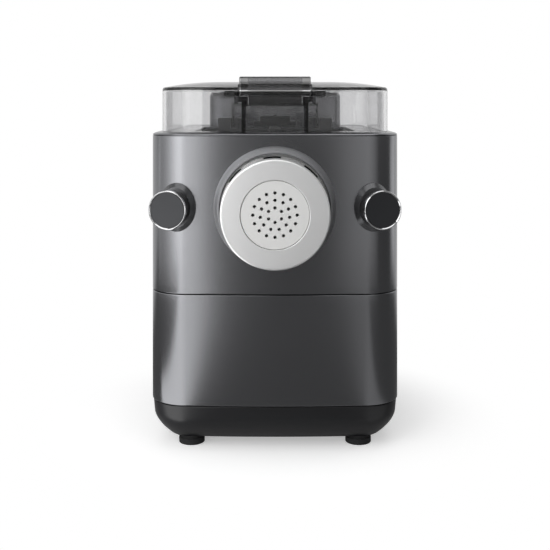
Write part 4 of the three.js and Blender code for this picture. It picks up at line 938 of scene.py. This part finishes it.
# the lid's recess and rooms are blocks' spans along x, y and z
lidSpec = {"top": 345, "dome": 5.6, "spread": 52, "wall": 3, "edge": 2.6, "innerEdge": 0.8, "edgeSteps": 6,
           "domeSteps": 14, "recess": ((-31.5, 31.5), (-109.5, -90), (302.3, 360)),
           "upperRecess": ((-38.5, 38.5), (-109.5, -90), (331, 360)),
           "hingeWeb": ((45.8, 54.2), (93.5, 99), (337.2, 341)),
           "recessInside": ((-28.5, 28.5), (-116, -93), (290, 360)),
           "upperInside": ((-35.5, 35.5), (-116, -93), (334, 360)),
           "switchRoom": ((-26, 26), (89.5, 97.5), (290, 316)),
           "armRoom": ((26, 34), (-106, -95.4), (324.1, 332.5))}
latchPin = {"y": -103, "z": 339, "radius": 2.8, "half": 48, "bore": 3.1, "boreHalf": 46.3, "lugRadius": 3.9,
            "lug": (35.5, 47)}
hingePin = {"y": 99, "z": 341, "radius": 2, "half": 63.5, "bore": 2.3, "boreHalf": 120, "lugRadius": 3.8}


def onPin(name, pin, radius, ends, side=1, sides=40, edge=0.0):
    # a rod on a pin's axis, mirrored in x where side is -1
    return rod(name, radius, *sorted(side * x for x in ends), sides, alongX(0, pin["y"], pin["z"]), edge)


def pinBore(pin, half):
    return onPin("bore", pin, pin["bore"], (-half, half), 1, 32)


def lidRings(inset, low, top, edge):
    middle = (lidPlan["front"] + lidPlan["back"]) / 2
    rings = [[(x, y, low) for x, y in outline(lidPlan, inset)]]
    for i in range(lidSpec["edgeSteps"] + 1):
        a = math.pi / 2 * i / lidSpec["edgeSteps"]
        ringInset = inset + edge * (1 - math.cos(a))
        rings.append([(x, y, top - edge + edge * math.sin(a)) for x, y in outline(lidPlan, ringInset)])
    edgeRing = rings[-1]
    for i in range(1, lidSpec["domeSteps"] + 1):
        share = i / lidSpec["domeSteps"]
        reach = 1 - lidSpec["spread"] * share / lidPlan["halfWidth"]
        height = top + lidSpec["dome"] * (1 - (1 - share) ** 2)
        rings.append([(x * reach, middle + (y - middle) * reach, height) for x, y, z in edgeRing])
    return rings


def buildLid():
    wall, seat, top = lidSpec["wall"], casing["seat"], lidSpec["top"]
    outer = ringsMesh("lid_cover", lidRings(0, seat, top, lidSpec["edge"]))
    inner = ringsMesh("inner", lidRings(wall, seat - past, top - wall, lidSpec["innerEdge"]))
    outerCopy = outer.copy()
    outerCopy.data = outer.data.copy()
    scene.collection.objects.link(outerCopy)
    shell = combine(outer, [inner])
    recess = boxOf("recess", lidSpec["recess"])
    combine(recess, [boxOf("upper", lidSpec["upperRecess"])], "UNION")
    combine(recess, [outerCopy], "INTERSECT")
    combine(shell, [recess], "UNION")
    lugs = []
    for side in (-1, 1):
        lugs += [onPin("lug", latchPin, latchPin["lugRadius"], latchPin["lug"], side),
                 onPin("hinge", hingePin, hingePin["lugRadius"], lidSpec["hingeWeb"][0], side, edge=0.4),
                 boxOf("web", lidSpec["hingeWeb"], side)]
    combine(shell, lugs, "UNION")
    cuts = [boxOf("cut", lidSpec[room]) for room in ("recessInside", "upperInside", "switchRoom")]
    cuts += [pinBore(latchPin, latchPin["boreHalf"]), pinBore(hingePin, hingePin["boreHalf"])]
    cuts += [boxOf("cut", lidSpec["armRoom"], side) for side in (-1, 1)]
    return combine(shell, cuts)


lidObject = buildLid()
finishPiece(lidObject, made["smokyLid"], "lid", "clear_lid", "lid")
print("lid done", len(lidObject.data.polygons))


for name, pin, sides, material, body, slotName, node in (
        ("latch_bar", latchPin, 40, "pinBlack", "lid", "dark_plastic", "latch_pin"),
        ("hinge_bar", hingePin, 32, "steelBright", "housing", "steel", "lid_hinge_pin")):
    bar = onPin(name, pin, pin["radius"], (-pin["half"], pin["half"]), 1, sides, 0.3)
    finishPiece(bar, made[material], body, slotName, node)

# the latch's blocks: spans along x, y and z, and the edge
latch = {
    "handle": ((-34, 34), (-114, -95), (336, 354.7), 1.6),
    "grip": ((-26, 26), (-108, -98), (345.7, 360), 1.0),
    "tab": ((-26, 26), (-114, -108), (327, 339), 1.2), "bar": ((-26, 26), (-99, -96), (326.5, 339), 0.5),
    "crossArm": ((0, 41.5), (-99, -96), (326.5, 329.5), 0.3),
    "arm": ((38.5, 41.5), (-99, -96), (306.5, 329.5), 0.3),
    "tooth": ((38.5, 41.5), (-99, -92), (306.5, 310.5), 0.3),
}


def buildLatch():
    handle = boxOf("latch_handle", latch["handle"])
    combine(handle, [boxOf("grip", latch["grip"])])
    parts = [boxOf(key, latch[key]) for key in ("tab", "bar")]
    parts += [boxOf(key, latch[key], side) for side in (-1, 1) for key in ("crossArm", "arm", "tooth")]
    combine(handle, parts, "UNION")
    return combine(handle, [pinBore(latchPin, 60)])


finishPiece(buildLatch(), made["smokyLatch"], "latch", "clear_lid", "lid_latch")
print("latch done")

consoleSpec = {"edge": 2.5, "edgeSteps": 6, "frontHeight": 337, "rise": 11, "run": 74,
               "hingeWeb": ((54.8, 63.8), (99, 105), (333.4, 341)), "well": ((-62, 62), (10, 62), (-8, 5), 0)}
slopeFrame = shift(0, consolePlan["front"], consoleSpec["frontHeight"]) @ Matrix.Rotation(
    math.atan2(consoleSpec["rise"], consoleSpec["run"]), 4, "X")


def buildConsole():
    edge = consoleSpec["edge"]
    plan = outline(consolePlan, 0)
    rings = [[(x, y, casing["seat"]) for x, y in plan]]
    for i in range(consoleSpec["edgeSteps"] + 1):
        a = math.pi / 2 * i / consoleSpec["edgeSteps"]
        ring = []
        for (x, y), (x0, y0) in zip(outline(consolePlan, edge * (1 - math.cos(a))), plan):
            climb = (y0 - consolePlan["front"]) * consoleSpec["rise"] / consoleSpec["run"]
            ring.append((x, y, consoleSpec["frontHeight"] + climb - edge + edge * math.sin(a)))
        rings.append(ring)
    shell = ringsMesh("console_body", rings)
    lugs = []
    for side in (-1, 1):
        lugs += [onPin("lug", hingePin, hingePin["lugRadius"], consoleSpec["hingeWeb"][0], side, edge=0.4),
                 boxOf("web", consoleSpec["hingeWeb"], side)]
    combine(shell, lugs, "UNION")
    well = boxOf("well", consoleSpec["well"], change=slopeFrame)
    return combine(shell, [well, pinBore(hingePin, hingePin["boreHalf"])])


finishPiece(buildConsole(), made["shellPaint"], "housing", "satin_shell", "console_shell")

panelSpec = {"half": 74, "front": 6, "back": 71.8, "round": 11, "base": 0.3, "face": 2.7, "edge": 0.5,
             "windowHalf": 24, "windowFront": 34.1, "windowBack": 58.1, "windowThick": 1.2}
keySpec = {"proud": 1, "lip": 1.6, "lipThick": 1.5, "dish": 0.5, "rim": 0.4}
keyPlaces = {"power_key": (-46, 46.11, 7), "start_key": (46, 46.11, 9), "menu_key": (0, 20.1, 6),
             "minus_key": (-26, 20.1, 6), "plus_key": (26, 20.1, 6)}


def buildPanel():
    size = {"halfWidth": panelSpec["half"], "front": panelSpec["front"], "back": panelSpec["back"],
            "crown": 1300, "frontRound": panelSpec["round"], "backRound": panelSpec["round"]}
    base, face, edge = panelSpec["base"], panelSpec["face"], panelSpec["edge"]
    rings = [[(x, y, z) for x, y in outline(size, inset)]
             for inset, z in ((0, base), (0, face - edge), (edge * 0.3, face - edge * 0.3), (edge, face))]
    slab = ringsMesh("control_panel", rings, change=slopeFrame)
    gap = casing["fit"]
    cuts = [block("cut", -panelSpec["windowHalf"] - gap, panelSpec["windowHalf"] + gap,
                  panelSpec["windowFront"] - gap, panelSpec["windowBack"] + gap,
                  face - panelSpec["windowThick"],
                  face + past, 0, slopeFrame)]
    for x, y, radius in keyPlaces.values():
        cuts.append(rod("cut", radius + gap, -past, 2 * past, 64, slopeFrame @ upright(x, y, 0)))
    return combine(slab, cuts)


finishPiece(buildPanel(), made["consoleGloss"], "housing", "gloss_panel", "console_panel")
glass = block("display_glass", -panelSpec["windowHalf"], panelSpec["windowHalf"], panelSpec["windowFront"],
              panelSpec["windowBack"], panelSpec["face"] - panelSpec["windowThick"] + casing["fit"],
              panelSpec["face"], 0.25, slopeFrame)
finishPiece(glass, made["windowGloss"], "housing", "gloss_panel", "display_window")
for name, (x, y, radius) in keyPlaces.items():
    top = panelSpec["face"] + keySpec["proud"]
    cap = turned(f"{name}_cap", rounded([
        (0, -keySpec["lipThick"]), (radius + keySpec["lip"], -keySpec["lipThick"]),
        (radius + keySpec["lip"], 0),
        (radius, 0), (radius, top, keySpec["rim"]), (radius - 1.2, top, 0.5),
        (radius * 0.5, top - keySpec["dish"] * 0.8), (0, top - keySpec["dish"])], 4), 64,
        slopeFrame @ upright(x, y, 0))
    look, slotName = ("nutSilver", "silver_metal") if name == "start_key" else ("keyGrey", "grey_plastic")
    finishPiece(cap, made[look], name, slotName, name)

# blocks on the deck: spans along x, y and z, and the edge
catch = {"block": ((31.5, 55), (-95.7, -84.7), (302.3, 315.2), 0.8),
         "slot": ((37.3, 42.7), (-101, -91.4), (305.3, 320))}
switchSpec = {"block": ((-24.4, 24.4), (84, 97), (302.3, 308.2), 0.7),
              "step": ((-17.4, 17.4), (84, 97), (302.3, 313.8), 0.7)}
for name, side in (("left", -1), ("right", 1)):
    catchBody = boxOf(f"{name}_catch_block", catch["block"], side)
    combine(catchBody, [boxOf("slot", catch["slot"], side)])
    finishPiece(catchBody, made["catchBlack"], "housing", "dark_plastic", f"{name}_catch")

switchBlock = boxOf("switch_block", switchSpec["block"])
combine(switchBlock, [boxOf("step", switchSpec["step"])], "UNION")
combine(switchBlock, [rod("hole", plunger["hole"], 0, 330, 24, upright(0, plunger["y"], 0))])
finishPiece(switchBlock, made["catchBlack"], "housing", "dark_plastic", "interlock_block")
print("console done")

chamber = {"radius": 76, "wall": 2.5, "front": -112, "back": 75.3, "top": 299.2, "bore": 7.6, "steps": 64}


def troughLine(radius, high):
    line = [(radius * math.cos(math.pi * (1 + i / chamber["steps"])),
             casing["axisHeight"] + radius * math.sin(math.pi * (1 + i / chamber["steps"])))
            for i in range(chamber["steps"] + 1)]
    return line + [(radius, high), (-radius, high)]


def slabAlongY(name, line, y0, y1):
    return ringsMesh(name, [[(x, y, z) for x, z in line] for y in (y0, y1)])


outerTrough = slabAlongY("mixing_trough", troughLine(chamber["radius"] + chamber["wall"], chamber["top"]),
                         chamber["front"], chamber["back"])
combine(outerTrough, [
    slabAlongY("inside", troughLine(chamber["radius"], chamber["top"] + past), chamber["front"] - past,
               chamber["back"] - chamber["wall"]),
    rod("bore", chamber["bore"], 0, 90, 48, onAxis())])
finishPiece(outerTrough, made["innerGrey"], "housing", "grey_plastic", "mixing_chamber")

paddle = {"hub": 11, "front": -78, "back": 68, "reach": 73, "bar": 6, "arm": 8, "shaftHole": 7.3,
          "shaftFront": 40, "edge": 1.2}


def buildPaddle():
    height = casing["axisHeight"]
    middle = (paddle["front"] + paddle["back"]) / 2
    hub = rod("mixing_arms", paddle["hub"], paddle["front"], paddle["back"], 64, onAxis(), 1.0)
    parts = []
    for side, y0, y1 in ((1, paddle["front"], middle), (-1, middle, paddle["back"])):
        far = side * paddle["reach"]
        near = far - side * paddle["bar"]
        parts.append(block("bar", -paddle["bar"], paddle["bar"], y0, y1, height + min(near, far),
                           height + max(near, far), paddle["edge"]))
        for y in (y0, y1 - paddle["arm"]):
            tip = far - side * paddle["bar"] / 2
            parts.append(block("arm", -paddle["bar"] / 2, paddle["bar"] / 2, y, y + paddle["arm"],
                               height + min(0, tip), height + max(0, tip), paddle["edge"]))
    combine(hub, parts, "UNION")
    return combine(hub, [rod("hole", paddle["shaftHole"], paddle["shaftFront"] - 0.3, 90, 40, onAxis())])


finishPiece(buildPaddle(), made["innerGrey"], "mixer", "grey_plastic", "mixing_paddle")

auger = {"front": -164, "back": -84, "core": 11, "radius": 31.6, "pitch": 30, "flight": 4.7, "neck": 8,
         "neckBack": -78.3}
flight = grown("flight", screwFlight, {
    "Pitch": auger["pitch"] * mm, "Length": (auger["back"] - auger["front"]) * mm,
    "Radius": auger["radius"] * mm,
    "Width": (auger["radius"] - auger["core"] + 2) * mm, "Thickness": auger["flight"] * mm,
    "Start Place": (0, auger["back"] * mm, casing["axisHeight"] * mm), "Material": made["steelBright"]})
core = turned("core", rounded([
    (0, auger["front"]), (auger["core"] - 3, auger["front"]), (auger["core"], auger["front"] + 3),
    (auger["core"], auger["back"], 0.6), (auger["neck"], auger["back"]), (auger["neck"], auger["neckBack"]),
    (0, auger["neckBack"])]), 64, onAxis())
finishPiece(joined("extrusion_screw", [flight, core]), made["steelBright"], "mixer", "steel",
            "extrusion_auger")
print("mixing parts done")

# the power inlet's housing with its two blades, set in the back
inlet = {"x": 46, "z": 72, "half": 16, "height": 12, "depth": 22, "wall": 4, "blade": 1.2, "spacing": 7,
         "bladeBase": 2, "bladeHalf": 2.4}


def buildInlet():
    x, z, back = inlet["x"], inlet["z"], casing["back"]
    body = block("inlet_body", x - inlet["half"], x + inlet["half"], back - inlet["depth"], back,
                 z - inlet["height"], z + inlet["height"], 1.2)
    half, height = inlet["half"] - inlet["wall"], inlet["height"] - inlet["wall"]
    combine(body, [block("well", x - half, x + half, back - inlet["depth"] + inlet["wall"], back + past,
                         z - height, z + height, 2.0)])
    blades = []
    for side in (-1, 1):
        middle = x + side * inlet["spacing"]
        blades.append(block("blade", middle - inlet["blade"], middle + inlet["blade"],
                            back - inlet["depth"] + inlet["bladeBase"], back - inlet["wall"],
                            z - inlet["bladeHalf"], z + inlet["bladeHalf"], 0.4))
    return combine(body, blades, "UNION")


finishPiece(buildInlet(), made["catchBlack"], "housing", "dark_plastic", "power_inlet")


# the remaining nodes keep their own solids
slotMaterials = {
    "satin_shell": "shellPaint", "dark_plastic": "basePlastic", "gloss_panel": "consoleGloss",
    "clear_lid": "smokyLid", "silver_metal": "nutSilver", "chrome_trim": "chromeTrim",
    "white_disc": "discWhite", "grey_plastic": "innerGrey", "steel": "steelBright", "rubber": "rubberBlack",
    "board": "boardGreen",
}
for part in frame["record"]["subparts"]:
    obj = frame["nodes"][part["node"]]
    obj.data.materials.clear()
    obj.data.materials.append(made[slotMaterials[part["material_slot"]]])
frame["nodes"]["interlock_plunger"].data.materials[0] = made["catchBlack"]

# stage, light and camera
cameraSpec = {"place": (0, -1.02, 0.3324), "lens": 62.8, "shift": -0.318}
camera = bpy.data.cameras.new("camera")
camera.lens = cameraSpec["lens"]
camera.sensor_width = 36
camera.sensor_fit = "HORIZONTAL"
camera.shift_y = cameraSpec["shift"]
camera.clip_start = 0.02
cameraObject = bpy.data.objects.new("camera", camera)
cameraObject.location = cameraSpec["place"]
cameraObject.rotation_euler = (math.pi / 2, 0, 0)
scene.collection.objects.link(cameraObject)
scene.camera = cameraObject


def areaLight(name, place, target, width, height, power):
    data = bpy.data.lights.new(name, "AREA")
    data.shape = "RECTANGLE"
    data.size = width
    data.size_y = height
    data.energy = power
    obj = bpy.data.objects.new(name, data)
    obj.location = place
    obj.rotation_euler = (Vector(target) - Vector(place)).to_track_quat("-Z", "Y").to_euler()
    scene.collection.objects.link(obj)
    return obj


corner = {"x": 0.09, "y": -0.1}  # where the lights of a side aim, near the casing's front corner


def beside(side, angle, distance, height):
    # a place at an angle to the left of straight ahead, in degrees, from a front corner of the casing
    a = math.radians(angle)
    return (side * corner["x"] - distance * math.sin(a), corner["y"] - distance * math.cos(a), height)


# curved banks of upright strips: the corner they face, the first strip's angle, the step and the brightness
banks = {"left": (-1, 13, 8, (2.6, 3.1, 3.0, 2.7, 2.2, 1.75, 1.35, 1.05, 0.85, 0.7, 0.65, 0.65)),
         "right": (1, -12, -8, (0.6, 0.55, 0.45, 0.35, 0.2)), "edge": (1, -104, -8, (0.4, 0.5, 0.5))}
strip = {"distance": 0.9, "middle": 0.45, "height": 1.5, "aim": 0.35}
for name, (side, first, step, levels) in banks.items():
    for i, level in enumerate(levels):
        width = 2 * strip["distance"] * math.tan(math.radians(abs(step) / 2))
        areaLight(f"{name}_{i}", beside(side, first + step * i, strip["distance"], strip["middle"]),
                  (side * corner["x"], corner["y"], strip["aim"]), width, strip["height"],
                  level * width * strip["height"] * math.pi)
topLight = {"place": (0, -0.1, 1.6), "target": (0, 0, 0.2), "width": 1.4, "height": 1.2, "power": 8}
areaLight("top", *topLight.values())
# cards that lie low over the floor carry the same reflections down to the base
lowCards = {"leftCard": (-1, 7.5, 0.24, 0.86, 1.3), "rightCard": (1, -9, 0.12, 0.86, 0.11)}
cardPlace = {"start": 0.03, "height": 0.004}
for name, (side, angle, width, length, power) in lowCards.items():
    a = math.radians(angle)
    near = beside(side, angle, cardPlace["start"] + length / 2, cardPlace["height"])
    outwards = math.copysign(width / 2, angle)
    card = areaLight(name, (near[0] - outwards * math.cos(a), near[1] + outwards * math.sin(a), near[2]),
                     (0, 0, 0), width, length, power)
    card.rotation_euler = (math.pi, 0, -a)
    card.visible_camera = False
    card.visible_transmission = False

worldLook = {"dim": 0.18, "white": 1.0, "backdropStart": 0.1, "backdropEnd": 0.6, "backdropShare": 0.8}
floorLook = {"half": 6, "drop": 0.0002, "roughness": 0.6, "color": 0.9, "nearGlow": 0.4, "farGlow": 1.0,
             "nearEdge": 0.1, "farEdge": 0.25, "mirrored": 0.6, "rearStart": 0.2, "rearEnd": 0.6,
             "frontShare": 0.13, "rearShare": 0.8}


def seenDirectly(tree, path, mirrored):
    # rays from the camera or through something clear, and a share of the mirrored ones
    share = calc(tree, "MULTIPLY", path["Is Glossy Ray"], mirrored)
    direct = calc(tree, "MAXIMUM", path["Is Camera Ray"], path["Is Transmission Ray"])
    return calc(tree, "MAXIMUM", direct, share)


def studioWorld():
    world = bpy.data.worlds.new("studio")
    world.use_nodes = True
    tree = world.node_tree
    tree.nodes.clear()
    path = put(tree, "ShaderNodeLightPath").outputs
    sky = put(tree, "ShaderNodeTexCoord")
    way = put(tree, "ShaderNodeSeparateXYZ", {0: sky.outputs["Generated"]})
    # metal sees the white backdrop too, where it looks to the back of the studio
    backdrop = ranged(tree, way.outputs[1], worldLook["backdropStart"], worldLook["backdropEnd"], 0.0,
                      worldLook["backdropShare"])
    seen = seenDirectly(tree, path, backdrop)
    dim, white = [put(tree, "ShaderNodeBackground", {"Color": (1, 1, 1, 1), "Strength": worldLook[key]})
                  for key in ("dim", "white")]
    mix = put(tree, "ShaderNodeMixShader", {0: seen, 1: dim.outputs[0], 2: white.outputs[0]})
    put(tree, "ShaderNodeOutputWorld", {"Surface": mix.outputs[0]})
    return world


def floorPaint():
    material = bpy.data.materials.new("floor_white")
    material.use_nodes = True
    tree = material.node_tree
    shader = tree.nodes["Principled BSDF"]
    shader.inputs["Roughness"].default_value = floorLook["roughness"]
    shader.inputs["Specular IOR Level"].default_value = 0.0
    shader.inputs["Emission Color"].default_value = (1, 1, 1, 1)
    place = put(tree, "ShaderNodeTexCoord").outputs["Object"]
    path = put(tree, "ShaderNodeLightPath").outputs
    away = put(tree, "ShaderNodeVectorMath", {0: place}, operation="LENGTH")
    fade = ranged(tree, away.outputs["Value"], floorLook["nearEdge"], floorLook["farEdge"], 0.0, 1.0)
    color = ranged(tree, fade, 0.0, 1.0, floorLook["color"], 0.0, "LINEAR")
    glow = ranged(tree, fade, 0.0, 1.0, floorLook["nearGlow"], floorLook["farGlow"], "LINEAR")
    # in front the casing mirrors a darker floor, and behind it the white one
    softer = ranged(tree, path["Is Glossy Ray"], 0.0, 1.0, 1.0, floorLook["mirrored"], "LINEAR")
    depth = put(tree, "ShaderNodeSeparateXYZ", {0: place})
    rearFloor = ranged(tree, depth.outputs[1], floorLook["rearStart"], floorLook["rearEnd"],
                       floorLook["frontShare"], floorLook["rearShare"])
    seen = seenDirectly(tree, path, rearFloor)
    tree.links.new(calc(tree, "MULTIPLY", color, softer), shader.inputs["Base Color"])
    tree.links.new(calc(tree, "MULTIPLY", seen, glow), shader.inputs["Emission Strength"])
    return material


scene.world = studioWorld()
bm = bmesh.new()
bmesh.ops.create_grid(bm, x_segments=1, y_segments=1, size=floorLook["half"])
floor = newObject("floor", bm)
floor.location.z = -floorLook["drop"]
floor.data.materials.append(floorPaint())
print("studio done")

scene.view_settings.view_transform = "Standard"
